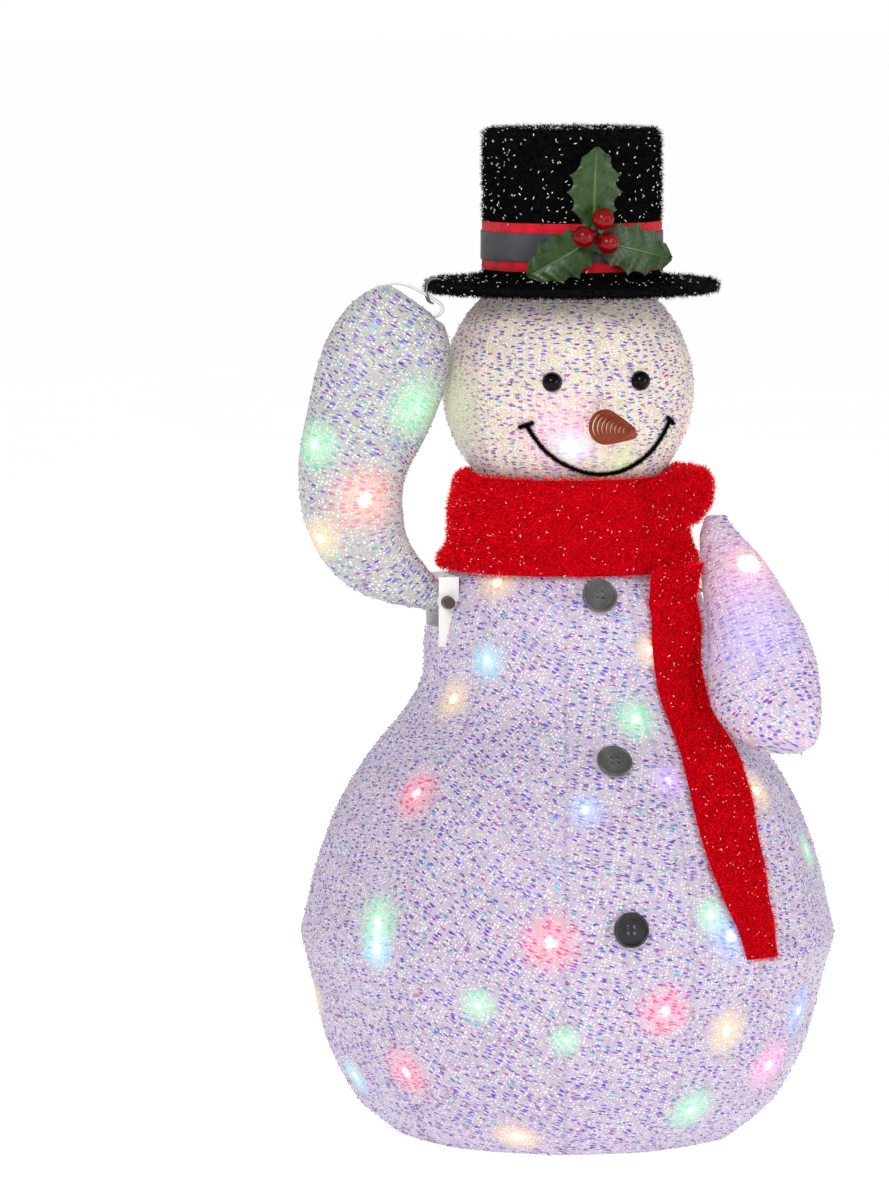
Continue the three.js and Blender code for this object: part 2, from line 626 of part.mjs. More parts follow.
function gearboxHalf(front) {
  const g = GEARBOX;
  const [y0, y1] = front ? [g.y0, g.split] : [g.split + GAP, g.y1];
  const [hollow0, hollow1] = front ? [y0 + g.wall, y1 + 1] : [y0 - 1, y1 - g.wall];
  const bores = [
    box(g.x0 + g.end, g.x1 - g.end, hollow0, hollow1, g.z0 + 2.6, g.z1 - 2.6),
    barY(IDLER_AXLE + 0.3, g.y0 - 1, g.y1 + 1, IDLER_X, PIVOT.z, 12),
    ...SCREW_PLACES.map(([x, z]) => barY(SCREW + GAP, g.y0 - 1, g.y1 + 1, x, z, 8)),
  ];
  if (front) bores.push(barY(OUTPUT_SHAFT + 0.5, g.y0 - 1, g.y0 + 5, CRANK_X, PIVOT.z));
  else bores.push(barY(IDLER_AXLE + 0.6, g.y1 - 5, g.y1 + 1, MOTOR_X, PIVOT.z, 12));
  return cut(box(g.x0, g.x1, y0, y1, g.z0, g.z1), bores);
}

function motorCan() {
  const can = barY(MOTOR_RADIUS, GEARBOX.y1 + GAP, 76, MOTOR_X, PIVOT.z, 24);
  const boss = barY(4, 75, 79, MOTOR_X, PIVOT.z, 12);
  return cut(union([can, boss]), [barY(IDLER_AXLE + 0.6, 40, 54, MOTOR_X, PIVOT.z, 12)]);
}

function gearboxScrew([x, z], i) {
  const body = union([barY(3, 11.2, 13.6, 0, 0, 12), barY(SCREW, 13, 41.5, 0, 0, 10)]);
  const mesh = named(`gearbox_screw_${i + 1}`, body, zincSteel);
  mesh.position.set(x, 0, z);
  return mesh;
}

function washer(name, y0, y1, radius, material) {
  return named(name, cut(barY(radius, y0, y1, PIVOT.x, PIVOT.z, 20), [
    barY(AXLE_RADIUS + GAP, y0 - 2, y1 + 2, PIVOT.x, PIVOT.z),
  ]), material);
}

function axleCap() {
  const cap = new THREE.CylinderGeometry(8, 6.8, 12.5, 20).translate(PIVOT.x, -64.2, PIVOT.z);
  return cut(cap, [barY(AXLE_RADIUS + GAP, -66, -50, PIVOT.x, PIVOT.z)]);
}

// ---- Hat ----------------------------------------------------------------------------------------
const HAT_WIRE_RADIUS = CROWN_RADIUS - 3 - WIRE - 1;

function hatCrown() {
  return turned([
    [0, CROWN_TOP - 3], [CROWN_RADIUS - 3, CROWN_TOP - 3], [CROWN_RADIUS - 3, BRIM_TOP + GAP],
    [CROWN_RADIUS, BRIM_TOP + GAP], [CROWN_RADIUS, CROWN_TOP], [0, CROWN_TOP],
  ], 32);
}

// The brim's cloth is folded over its rim, so its section is a U that is open towards the crown.
function hatBrim() {
  const fold = 3;
  const inner = CROWN_RADIUS - 3;
  return turned([
    [inner, BRIM_BOTTOM], [BRIM_RADIUS - 3, BRIM_BOTTOM], [BRIM_RADIUS, BRIM_BOTTOM + 4],
    [BRIM_RADIUS, BRIM_TOP - 4], [BRIM_RADIUS - 3, BRIM_TOP], [inner, BRIM_TOP], [inner, BRIM_TOP - fold],
    [BRIM_RADIUS - fold - 1, BRIM_TOP - fold], [BRIM_RADIUS - fold - 1, BRIM_BOTTOM + fold],
    [inner, BRIM_BOTTOM + fold],
  ], 32);
}

function hatFrame() {
  const middle = (BRIM_BOTTOM + BRIM_TOP) / 2;
  const angles = [0, 60, 120, 180, 240, 300];
  const foot = (a) => polar(HAT_WIRE_RADIUS, a, middle);
  const uprights = angles.map((a) => wire([foot(a), polar(HAT_WIRE_RADIUS, a, CROWN_TOP - 8)], WIRE, 1));
  const spokes = angles.map((a) => wire([foot(a), polar(BRIM_RADIUS - 8, a, middle)], WIRE, 1));
  return union([
    ring(HAT_WIRE_RADIUS, middle), ring(BRIM_RADIUS - 8, middle), ring(HAT_WIRE_RADIUS, CROWN_TOP - 8),
    ...uprights, ...spokes,
  ]);
}

function hatBand(radius, thick, z, height, segments = 32) {
  const inner = radius / Math.cos(Math.PI / segments);
  return turned([[inner, z], [inner + thick, z], [inner + thick, z + height], [inner, z + height]], segments);
}

// A spiny leaf that starts at a height on the crown's front, turned from straight up, and bends round the crown.
const LEAF = { half: 30, thick: 1.4, spines: 5, lift: 0.0015 };

function hollyLeaf(name, turn, length, radius, z) {
  const { half, thick, spines, lift } = LEAF;
  const edge = [];
  for (let i = 0; i < spines; i += 1) {
    const [low, high] = [(i + 0.35) / (spines + 0.6), (i + 1) / (spines + 0.6)];
    const width = (share) => half * Math.sin(Math.PI * Math.min(share * 0.88 + 0.1, 1)) ** 0.8;
    edge.push([width(low) * 0.84, low * length], [width(high) * 1.04, high * length]);
  }
  const outline = [[2, 0], ...edge, [0, length], ...edge.toReversed().map(([x, y]) => [-x, y]), [-2, 0]];
  const rolled = ([x, y]) => new THREE.Vector2(x, y).rotateAround(new THREE.Vector2(), rad(turn));
  const shape = new THREE.Shape(outline.map(rolled));
  const flat = new THREE.ExtrudeGeometry(shape, { depth: thick, bevelEnabled: false });
  const p = flat.getAttribute("position");
  for (let i = 0; i < p.count; i += 1) {
    const [x, y, deep] = [p.getX(i), p.getY(i), p.getZ(i)];
    const angle = THREE.MathUtils.radToDeg(x / radius);
    p.setXYZ(i, ...polar(radius + deep + lift * (x * x + y * y), angle, z + y).toArray());
  }
  return named(name, flat, leafGreen);
}

const HOLLY_Z = 1080;
const BERRIES = [[-7.3, 1082], [2.6, 1103], [5.2, 1074.5]]; // [degrees round from the front, height]
const BERRY_RADIUS = 13.2;

function berry([angle, z], i) {
  const mesh = named(`holly_berry_${i + 1}`, new THREE.SphereGeometry(BERRY_RADIUS, 12, 8), berryRed);
  mesh.position.copy(polar(CROWN_RADIUS + 27, angle, z));
  return mesh;
}

// The white wire loop at the hand that carries the brim, and the spring clips that grip the brim and hook under it.
const CARRIER = [
  [-226, 999], [-237, 1013], [-228, 1023], [-212, 1026], [-190, 1017], [-172, 1006], [-158, 998], [-156, 988],
  [-170, 982],
];
const CARRIER_WIRE = 2;
const CLIP = [[-162, 1028.2], [-173, 1028], [-178, 1023], [-178, 1010], [-175, 1002], [-171, 999.5]];

function hatCarrier(radius) {
  return wire(CARRIER.map(([x, z]) => at(x, ARM_Y, z)), radius, 18, 6);
}

function brimClip(name, side) {
  const points = CLIP.map(([x, z]) => at(x, ARM_Y + side * 6, z));
  return named(name, wire([...points, at(-170, ARM_Y + side * 1.5, 999)], 1.1, 16), zincSteel);
}

// ---- Lights -------------------------------------------------------------------------------------
const STRING_WIRE = 1.3;
const BULB = 3;
// [degrees round from the front, height] of the bulbs on the body's front half; the back half mirrors them
const BODY_BULBS = [
  [-28, 26], [20, 58], [-81, 78], [43, 100], [-55, 100], [-14, 153], [25, 154], [50, 164], [-92, 167], [8, 185],
  [-33, 192], [-58, 255], [24, 269], [-17, 270], [19, 296], [62, 348], [-9, 420], [-57, 429], [45, 428], [15, 449],
  [11, 516], [-62, 534], [-47, 582], [21, 595], [-46, 672],
];

// A straight wire between two points.
function link(from, to, radius, sides = 3) {
  const bar = new THREE.CylinderGeometry(radius, radius, from.distanceTo(to), sides);
  const turn = new THREE.Quaternion().setFromUnitVectors(at(0, 1, 0), to.clone().sub(from).normalize());
  return bar.applyQuaternion(turn).translate(...from.clone().lerp(to, 0.5).toArray());
}

// A string of bulbs along some points; every so many of them is a bulb, and the rest are bends of the wire.
function stringOver(points, isBulb) {
  const knots = points.map((p, i) => new THREE.OctahedronGeometry(isBulb(i) ? BULB : STRING_WIRE * 1.5)
    .translate(...p.toArray()));
  return union([...knots, ...points.slice(1).map((p, i) => link(points[i], p, STRING_WIRE))]);
}

// A light string over stops in the order given, each [degrees, height], with bends between those far apart.
function lightString(stops, place) {
  const points = [];
  const bulbs = new Set();
  stops.forEach(([angle, z], i) => {
    bulbs.add(points.length);
    points.push(place(angle, z));
    if (i === stops.length - 1) return;
    const [nextAngle, nextZ] = stops[i + 1];
    const parts = Math.max(1, Math.round(Math.abs(nextAngle - angle) / 60));
    for (let k = 1; k < parts; k += 1) {
      points.push(place(angle + ((nextAngle - angle) * k) / parts, z + ((nextZ - z) * k) / parts));
    }
  });
  return stringOver(points, (i) => bulbs.has(i));
}

function bodyString() {
  const inside = (angle, z) => polar(bodyRadius(Math.max(z, 10)) - WIRE_INSET - WIRE - 6, angle, z);
  const rows = [0, 1, 2, 3];
  const level = (z) => Math.min(rows.length - 1, Math.floor(z / 140));
  const front = BODY_BULBS.filter((_, i) => i % 2 === 0);
  const back = BODY_BULBS.filter((_, i) => i % 4 === 1).map(([a, z]) => [180 - a, z]);
  const all = [...front, ...back].map(([a, z]) => [((a + 540) % 360) - 180, z]);
  const order = rows.flatMap((row) => {
    const here = all.filter(([, z]) => level(z) === row).sort((p, q) => p[0] - q[0]);
    return row % 2 === 0 ? here : here.toReversed();
  });
  return lightString(order.filter(([, z]) => z < 560), inside);
}

// [degrees round from the front, height above the head's middle as a share of its radius]
const HEAD_BULBS = [
  [-150, -0.6], [-70, -0.53], [-12, -0.39], [60, -0.3], [150, 0.03], [230, 0.23], [290, 0.43], [370, 0.3],
];

function headString() {
  const scale = 1 - (WIRE_INSET + WIRE + 8) / HEAD_RADIUS;
  const inside = (angle, share) => {
    const z = HEAD_Z + share * HEAD_RADIUS * scale;
    return polar(headRadius(HEAD_Z + share * HEAD_RADIUS) * scale, angle, z);
  };
  return lightString(HEAD_BULBS, inside);
}

function limbString(sections, share) {
  const points = sections.map(({ centre, deep, b }, i) =>
    centre.clone().addScaledVector(deep, -share * b * (i % 2 ? 1 : 0.6)));
  return stringOver(points, (i) => i % 3 === 1);
}

function lightController() {
  return union([box(-32, 32, 96, 132, 7, 31), box(-27, 27, 100, 128, 30, 33)]);
}

function powerInlet() {
  const place = polar(bodyRadius(INLET.z), INLET.angle, INLET.z);
  const socket = union([
    new THREE.CylinderGeometry(INLET.radius, INLET.radius, 61, 18).translate(0, 13.5, 0),
    box(-8, 8, 31, 44, BASE_WIRE * 2 + GAP - INLET.z, 0),
    new THREE.CylinderGeometry(INLET.radius - 2, INLET.radius - 2, 8, 18).translate(0, -20, 0),
    new THREE.CylinderGeometry(INLET.radius + 3, INLET.radius + 3, 3, 18).translate(0, -13.5, 0),
  ]);
  const bore = INLET.radius - 3.5;
  const body = cut(socket, [new THREE.CylinderGeometry(bore, bore, 14, 12).translate(0, -20, 0)]);
  const mesh = named("power_inlet", body, greyPlastic);
  mesh.position.copy(place);
  mesh.rotation.z = rad(INLET.angle);
  return mesh;
}

// ---- Assembly -----------------------------------------------------------------------------------
const snowman = new THREE.Group();
const hanging = hangingArmSections();

snowman.add(
  named("base_ring", baseRing(), whiteSteel),
  named("body_frame", bodyFrame(), whiteSteel),
  named("body_cover", bodyCover(), crystalCloth),
  named("head_frame", headFrame(), whiteSteel),
  named("head_cover", headCover(), crystalCloth),
  eye(-1),
  eye(1),
  nose(),
  named("mouth_cord", mouth(), blackTinsel),
  named("scarf_wrap", scarfWrap(), redTinsel),
  named("scarf_tail", scarfTail(), redTinsel),
  ...Object.entries(BUTTON_HEIGHTS).map(([name, z]) => button(name, z)),
);

snowman.add(
  named("left_arm_cover", cut(sleeve(hanging), armHooks(hanging, WIRE + HOLE_GAP)), crystalCloth),
  named("left_arm_frame", limbFrame(hanging, [1, 4, 7], armHooks(hanging, WIRE)), whiteSteel),
  named("led_string_left_arm", limbString(hanging.slice(1, -3), 0.35), clearWire),
);

snowman.add(
  named("arm_bracket", armBracket(), whiteSteel),
  named("pivot_axle", barY(AXLE_RADIUS, -64, 20, PIVOT.x, PIVOT.z, 16), zincSteel),
  named("axle_cap", axleCap(), brownRubber),
  washer("axle_clip", PLATE.y1 + GAP, PLATE.y1 + 2, 7, zincSteel),
  washer("pivot_bush_front", EAR.y1 + GAP, HUB.y0 - GAP, 9, whitePlastic),
  washer("pivot_bush_rear", HUB.y1 + GAP, PLATE.y0 - GAP, 9, whitePlastic),
  named("gearbox_front", gearboxHalf(true), greyPlastic),
  named("gearbox_rear", gearboxHalf(false), greyPlastic),
  named("idler_axle", barY(IDLER_AXLE, 17.3, 42.7, IDLER_X, PIVOT.z, 12), zincSteel),
  named("motor_can", motorCan(), zincSteel),
  ...SCREW_PLACES.map(gearboxScrew),
  crank(),
  outputGear(),
  idlerGear(),
  motorPinion(),
);

const raised = raisedArmSections();
const tippingArm = new THREE.Group();
tippingArm.add(
  named("right_arm_cover", cut(sleeve(raised), [hatCarrier(CARRIER_WIRE + GAP + 0.4)]), crystalCloth),
  named("right_arm_frame", limbFrame(raised, [2, 5, 8], armRoots(raised[0])), whiteSteel),
  named("arm_hub", armHub(), whiteSteel),
  slottedLever(),
  named("hat_carrier", hatCarrier(CARRIER_WIRE), whiteSteel),
  brimClip("brim_clip_front", -1),
  brimClip("brim_clip_rear", 1),
  named("led_string_right_arm", limbString(raised.slice(1, -2), 0.4), clearWire),
);

const hat = new THREE.Group();
hat.add(
  named("hat_crown", hatCrown(), blackTinsel),
  named("hat_brim", hatBrim(), blackTinsel),
  named("hat_frame", hatFrame(), blackSteel),
  named("hat_band", hatBand(CROWN_RADIUS + GAP, 1.2, BAND_BOTTOM, BAND_HEIGHT), ribbonRed),
  named("hat_band_stripe", hatBand(CROWN_RADIUS + 2.4, 0.8, STRIPE_BOTTOM, STRIPE_HEIGHT), satinGrey),
  hollyLeaf("holly_leaf_1", 0, 98, CROWN_RADIUS + 5, HOLLY_Z + 9),
  hollyLeaf("holly_leaf_2", 121, 88, CROWN_RADIUS + 9, HOLLY_Z),
  hollyLeaf("holly_leaf_3", -104, 104, CROWN_RADIUS + 7, HOLLY_Z - 2),
  ...BERRIES.map(berry),
);
hat.position.x = HAT_X;
tippingArm.add(hat);
snowman.add(tippingArm);

snowman.add(
  named("led_string_body", bodyString(), clearWire),
  named("led_string_head", headString(), clearWire),
  named("light_controller", lightController(), greyPlastic),
  powerInlet(),
);

export default snowman;
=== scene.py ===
"""Lighted yard snowman with a tipping top hat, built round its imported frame. Metres, +Z up, the front faces -Y."""

import json
import math

import bpy
import numpy as np
from mathutils import Matrix, Vector


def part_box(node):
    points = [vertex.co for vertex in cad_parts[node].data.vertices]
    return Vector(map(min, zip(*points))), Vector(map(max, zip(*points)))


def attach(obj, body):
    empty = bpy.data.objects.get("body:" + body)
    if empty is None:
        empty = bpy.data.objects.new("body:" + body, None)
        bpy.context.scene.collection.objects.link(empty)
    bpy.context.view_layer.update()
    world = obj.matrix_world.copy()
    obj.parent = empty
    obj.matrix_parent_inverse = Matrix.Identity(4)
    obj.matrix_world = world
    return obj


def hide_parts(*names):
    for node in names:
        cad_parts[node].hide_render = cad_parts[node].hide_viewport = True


bl_info = {
    "name": "Yard Snowman",
    "version": (1, 0, 0),
    "blender": (4, 5, 0),
    "location": "View3D > Sidebar > Snowman",
    "description": "Builds the lighted yard snowman's pieces round its frame",
    "category": "Add Mesh",
}

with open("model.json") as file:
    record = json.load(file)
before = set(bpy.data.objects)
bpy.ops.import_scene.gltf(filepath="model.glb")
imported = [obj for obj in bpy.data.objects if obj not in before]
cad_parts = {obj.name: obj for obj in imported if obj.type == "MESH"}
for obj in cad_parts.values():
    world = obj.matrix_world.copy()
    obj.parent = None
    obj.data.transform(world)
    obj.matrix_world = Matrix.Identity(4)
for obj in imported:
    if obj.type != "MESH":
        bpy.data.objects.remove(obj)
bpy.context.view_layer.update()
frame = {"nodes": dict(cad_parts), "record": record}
NODES = frame["nodes"]
MM = 0.001
RIBS = (14, 50, 90, 130, 166, -14, -50, -90, -130, -166)

# [x, z, half width, half depth] up the raised arm, and [x, y, z, half width, half depth] down the hanging one
RAISED_ARM = [
    (-162, 646, 15, 16), (-175, 653, 20, 20), (-200, 667, 30, 25), (-232, 690, 44, 31), (-254, 718, 54, 37),
    (-267, 755, 60, 41), (-269, 795, 64, 44), (-262, 830, 68, 46), (-245, 877, 75, 47), (-227, 930, 77, 45),
    (-212, 970, 67, 39), (-201, 995, 49, 28), (-196, 1003, 31, 18),
]
RAISED_ARM_Y = -19
HANGING_ARM = [
    (169, -54, 741, 12, 12), (171, -62, 722, 23, 20), (181, -81, 692, 37, 28), (189, -105, 657, 48, 34),
    (198, -131, 617, 57, 37), (199, -158, 574, 65, 39), (197, -181, 535, 66, 37), (198, -193, 516, 62, 34),
    (202, -201, 500, 55, 29), (208, -205, 484, 42, 21), (212, -207, 473, 22, 11),
]
HANGING_ARM_TURN = 12.5
HAT_X = 4

# Light colours, and where each light shines through the cloth: [degrees round from the front, height mm, colour, size]
LIGHTS = {
    "warm": (1.0, 0.72, 0.30), "red": (1.0, 0.06, 0.18), "blue": (0.20, 0.45, 1.0), "green": (0.22, 0.95, 0.42),
    "orange": (1.0, 0.30, 0.20), "violet": (0.55, 0.25, 1.0), "pink": (1.0, 0.25, 0.65), "cyan": (0.25, 0.85, 1.0),
    "dim_pink": (0.52, 0.16, 0.36), "dim_blue": (0.26, 0.22, 0.62), "dim_green": (0.30, 0.42, 0.16),
    "dim_red": (0.5, 0.14, 0.2),
}
BODY_LIGHTS = [
    (-48, 673, "warm", 48), (-47, 582, "cyan", 42), (-62, 534, "warm", 50), (-57, 429, "red", 58),
    (-59, 282, "green", 60), (-58, 248, "cyan", 46), (-17, 270, "red", 64), (-9, 420, "blue", 40),
    (11, 516, "green", 52), (-33, 192, "green", 40), (-14, 153, "green", 34), (-92, 167, "warm", 50),
    (-81, 78, "cyan", 44), (-55, 100, "red", 58), (-28, 26, "warm", 52), (8, 185, "red", 58), (25, 154, "warm", 52),
    (20, 58, "green", 56), (43, 101, "pink", 58), (24, 269, "blue", 60), (19, 295, "green", 40), (45, 428, "warm", 48),
    (21, 595, "warm", 40), (50, 164, "blue", 50), (62, 348, "green", 44), (15, 449, "violet", 40),
]
BACK_LIGHTS = [
    (180, 120, "red", 56), (150, 230, "blue", 56), (205, 330, "green", 52), (170, 440, "warm", 50),
    (135, 90, "warm", 50), (225, 190, "pink", 56), (120, 350, "violet", 48), (190, 560, "cyan", 44),
]
HEAD_LIGHTS = [
    (-12, 834, "cyan", 30), (-16, 850, "dim_pink", 84), (-78, 880, "dim_green", 84), (16, 815, "dim_green", 50),
    (75, 850, "dim_red", 64), (180, 880, "warm", 70), (130, 930, "blue", 60), (-140, 850, "red", 60),
]
# [x, y, z, colour, size] of the lights in the arms
RIGHT_ARM_LIGHTS = [(-194, -64, 876, "green", 60), (-262, -62, 771, "orange", 62), (-318, -42, 835, "green", 46),
                    (-314, -40, 722, "warm", 46), (-250, 26, 850, "blue", 56), (-270, 22, 770, "pink", 50)]
LEFT_ARM_LIGHTS = [(194, -118, 692, "warm", 32), (192, -116, 684, "dim_pink", 84), (188, -168, 612, "dim_blue", 96),
                   (250, -120, 640, "dim_green", 40)]


# ---- Shader tools ---------------------------------------------------------------------------------------------
def rgba(colour):
    return (*colour, 1.0)


class Nodes:
    """A node tree with short ways to add nodes and links."""

    def __init__(self, tree):
        self.tree = tree

    def add(self, kind, inputs=(), **settings):
        node = self.tree.nodes.new(kind)
        for key, value in settings.items():
            setattr(node, key, value)
        for key, value in dict(inputs).items():
            self.put(node.inputs[key], value)
        return node

    def put(self, socket, value):
        if isinstance(value, bpy.types.NodeSocket):
            self.tree.links.new(value, socket)
        else:
            socket.default_value = value

    def maths(self, operation, a, b=0.0, clamp=False):
        return self.add("ShaderNodeMath", {0: a, 1: b}, operation=operation, use_clamp=clamp).outputs[0]

    def vector(self, operation, a, b):
        return self.add("ShaderNodeVectorMath", {0: a, 1: b}, operation=operation).outputs[0]

    def ramp(self, value, low, high, to_low=0.0, to_high=1.0, smooth=False):
        node = self.add("ShaderNodeMapRange", {0: value, 1: low, 2: high, 3: to_low, 4: to_high},
                        interpolation_type="SMOOTHSTEP" if smooth else "LINEAR")
        return node.outputs[0]

    def mix(self, factor, a, b, blend="MIX"):
        node = self.add("ShaderNodeMix", data_type="RGBA", blend_type=blend)
        self.put(node.inputs[0], factor)
        self.put(node.inputs[6], a)
        self.put(node.inputs[7], b)
        return node.outputs[2]

    def colours(self, value, stops, interpolation="LINEAR"):
        node = self.add("ShaderNodeValToRGB", {0: value})
        node.color_ramp.interpolation = interpolation
        elements = node.color_ramp.elements
        while len(elements) < len(stops):
            elements.new(0.5)
        for element, (place, colour) in zip(elements, stops):
            element.position, element.color = place, rgba(colour)
        return node.outputs[0]


def group(name, inputs, outputs):
    """A shader node group, its socket lists being [(name, kind, default)]. Returns its tools and its two ends."""
    tree = bpy.data.node_groups.new(name, "ShaderNodeTree")
    kinds = {"colour": "NodeSocketColor", "value": "NodeSocketFloat", "vector": "NodeSocketVector"}
    for socket_name, kind, default in inputs:
        socket = tree.interface.new_socket(socket_name, in_out="INPUT", socket_type=kinds[kind])
        if default is not None:
            socket.default_value = default
    for socket_name, kind in outputs:
        tree.interface.new_socket(socket_name, in_out="OUTPUT", socket_type=kinds[kind])
    n = Nodes(tree)
    return n, n.add("NodeGroupInput").outputs, n.add("NodeGroupOutput").inputs


def use_group(n, name, inputs):
    node = n.add("ShaderNodeGroup", node_tree=bpy.data.node_groups[name])
    for key, value in inputs.items():
        n.put(node.inputs[key], value)
    return node.outputs


def finish(name):
    """A finish by its name here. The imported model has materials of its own, some with the same names."""
    return bpy.data.materials[name + "_finish"]


def new_material(name):
    material = bpy.data.materials.new(name + "_finish")
    material.use_nodes = True
    n = Nodes(material.node_tree)
    return material, n, n.tree.nodes["Principled BSDF"]


def object_coordinates(n):
    return n.add("ShaderNodeTexCoord").outputs["Object"]


def uv(n, name):
    return n.add("ShaderNodeUVMap", uv_map=name).outputs[0]


def bump(n, shader, height, distance, strength=1.0):
    node = n.add("ShaderNodeBump", {"Height": height, "Distance": distance, "Strength": strength})
    n.put(shader.inputs["Normal"], node.outputs[0])


# ---- Shared effects -------------------------------------------------------------------------------------------
def make_glow_group():
    n, i, o = group("light_spot",
                    [("Vector", "vector", None), ("Centre", "vector", None), ("Colour", "colour", None),
                     ("Size", "value", 0.05), ("Sum", "colour", (0, 0, 0, 1))], [("Sum", "colour")])
    away = n.add("ShaderNodeVectorMath", {0: i["Vector"], 1: i["Centre"]}, operation="DISTANCE").outputs["Value"]
    near = n.maths("SUBTRACT", 1.0, n.maths("DIVIDE", away, i["Size"]), clamp=True)
    share = n.maths("POWER", near, 1.6)
    scaled = n.mix(1.0, i["Colour"], n.add("ShaderNodeCombineColor", {0: share, 1: share, 2: share}).outputs[0],
                   "MULTIPLY")
    n.put(o["Sum"], n.mix(1.0, i["Sum"], scaled, "ADD"))


def make_knit_group():
    """Short glittering strokes on a pale speckled net, with painted light in its colour: white glints, paler tinted
    patches and strokes near the lamps behind, and a faint even glow from inside.
    """
    n, i, o = group("glitter_net",
                    [("Vector", "vector", None), ("Ground", "colour", None), ("Shade", "colour", None),
                     ("Glow", "colour", (0, 0, 0, 1)), ("Stroke Share", "value", 0.5), ("Warmth", "value", 0.0)],
                    [("Colour", "colour"), ("Emission", "colour"), ("Height", "value"), ("Stroke", "value")])
    wave = n.add("ShaderNodeTexNoise", {"Vector": i["Vector"], "Scale": 9.0, "Detail": 2.0}).outputs["Color"]
    shift = n.vector("MULTIPLY", n.vector("SUBTRACT", wave, (0.5, 0.5, 0.5)), (0.012, 0.03, 0.0))
    place = n.vector("ADD", i["Vector"], shift)

    def marks(size, limit, share, soft, randomness=0.9):
        cells = n.add("ShaderNodeTexVoronoi", {"Vector": n.vector("MULTIPLY", place, size), "Scale": 1.0,
                                               "Randomness": randomness}, voronoi_dimensions="2D")
        chance = n.add("ShaderNodeSeparateColor", {0: cells.outputs["Color"]})
        inside = n.ramp(cells.outputs["Distance"], limit, limit - soft)
        return n.maths("MULTIPLY", inside, n.maths("LESS_THAN", chance.outputs[0], share)), chance.outputs[1]

    stroke, pick = marks((74.0, 235.0, 1.0), 0.30, i["Stroke Share"], 0.09)
    thin, _ = marks((150.0, 480.0, 1.0), 0.27, 0.32, 0.12)
    glint, _ = marks((210.0, 330.0, 1.0), 0.33, 0.42, 0.2)
    grain = n.add("ShaderNodeTexNoise", {"Vector": i["Vector"], "Scale": 620.0, "Detail": 2.0}).outputs[0]
    blotch = n.add("ShaderNodeTexNoise", {"Vector": i["Vector"], "Scale": 26.0, "Detail": 3.0}).outputs[0]

    parts = n.add("ShaderNodeSeparateColor", {0: i["Glow"]}, mode="HSV").outputs
    lit = n.maths("MULTIPLY", parts[2], 1.0, clamp=True)
    tint = n.add("ShaderNodeCombineColor", {0: parts[0], 1: parts[1], 2: 1.0}, mode="HSV").outputs[0]

    ground = n.mix(n.ramp(blotch, 0.3, 0.7), i["Ground"], i["Shade"])
    ground = n.mix(n.ramp(grain, 0.44, 0.66, 0.0, 0.5), ground, (0.26, 0.22, 0.30, 1))
    speck = n.add("ShaderNodeTexNoise", {"Vector": i["Vector"], "Scale": 820.0, "Detail": 1.0}).outputs["Color"]
    ground = n.mix(0.45, ground, n.add("ShaderNodeHueSaturation", {"Saturation": 2.2, "Value": 1.15, "Color": speck})
                   .outputs[0], "OVERLAY")
    # Painted highlights: the glint cells turn near-white.
    ground = n.mix(n.maths("MULTIPLY", glint, 0.8), ground, (0.95, 0.95, 0.95, 1))
    # Painted light from the lamps behind: near each one the ground turns paler and takes the lamp's tint.
    pale = n.mix(1.0, n.mix(0.42, tint, (1, 1, 1, 1)), n.mix(0.5, ground, (1, 1, 1, 1)), "MULTIPLY")
    ground = n.mix(n.ramp(lit, 0.05, 0.7, 0.0, 0.72), ground, pale)
    hues = [(0.0, (0.04, 0.02, 0.42)), (0.3, (0.09, 0.05, 0.62)), (0.52, (0.22, 0.05, 0.50)),
            (0.68, (0.03, 0.14, 0.62)), (0.80, (0.36, 0.03, 0.28)), (0.90, (0.01, 0.32, 0.60)),
            (1.0, (0.0, 0.40, 0.42))]
    warm_hues = [(0.0, (0.38, 0.02, 0.12)), (0.22, (0.07, 0.05, 0.55)), (0.45, (0.34, 0.04, 0.38)),
                 (0.65, (0.02, 0.22, 0.60)), (0.80, (0.55, 0.06, 0.08)), (1.0, (0.0, 0.34, 0.42))]
    ink = n.mix(i["Warmth"], n.colours(pick, hues), n.colours(pick, warm_hues))
    # Painted light: near a lamp the strokes take its tint, and at its bright core they fade out.
    deep = n.mix(0.30, tint, ink)
    ink = n.mix(n.ramp(lit, 0.02, 0.30, 0.0, 0.85), ink, deep)
    core = n.ramp(lit, 0.70, 0.90)
    drawn = n.maths("MULTIPLY", n.maths("MAXIMUM", stroke, n.maths("MULTIPLY", thin, 0.6)),
                    n.ramp(core, 0.0, 1.0, 0.92, 0.05))
    n.put(o["Colour"], n.mix(drawn, ground, ink))
    glow = n.mix(n.ramp(lit, 0.62, 0.88), tint, (1, 1, 0.93, 1))
    halo = n.ramp(lit, 0.05, 0.7, 0.0, 0.10)
    spark = n.ramp(n.maths("ADD", lit, n.maths("MULTIPLY", grain, 0.16)), 0.78, 0.98, 0.0, 0.85)
    power = n.maths("MULTIPLY", n.maths("ADD", halo, spark), n.ramp(drawn, 0.0, 1.0, 1.0, 0.55))
    light = n.mix(1.0, glow, n.add("ShaderNodeCombineColor", {0: power, 1: power, 2: power}).outputs[0], "MULTIPLY")
    # Painted light: the net's own colour also glows faintly everywhere, for the light from inside, which fills in the
    # shade on it.
    inner = n.mix(1.0, n.mix(drawn, ground, ink), (0.26, 0.26, 0.26, 1), "MULTIPLY")
    n.put(o["Emission"], n.mix(1.0, light, inner, "ADD"))
    n.put(o["Stroke"], stroke)
    n.put(o["Height"], n.maths("ADD", n.maths("MULTIPLY", stroke, 0.7), n.maths("ADD", n.maths("MULTIPLY", glint, 0.5),
                                                                              n.maths("MULTIPLY", grain, 0.6))))


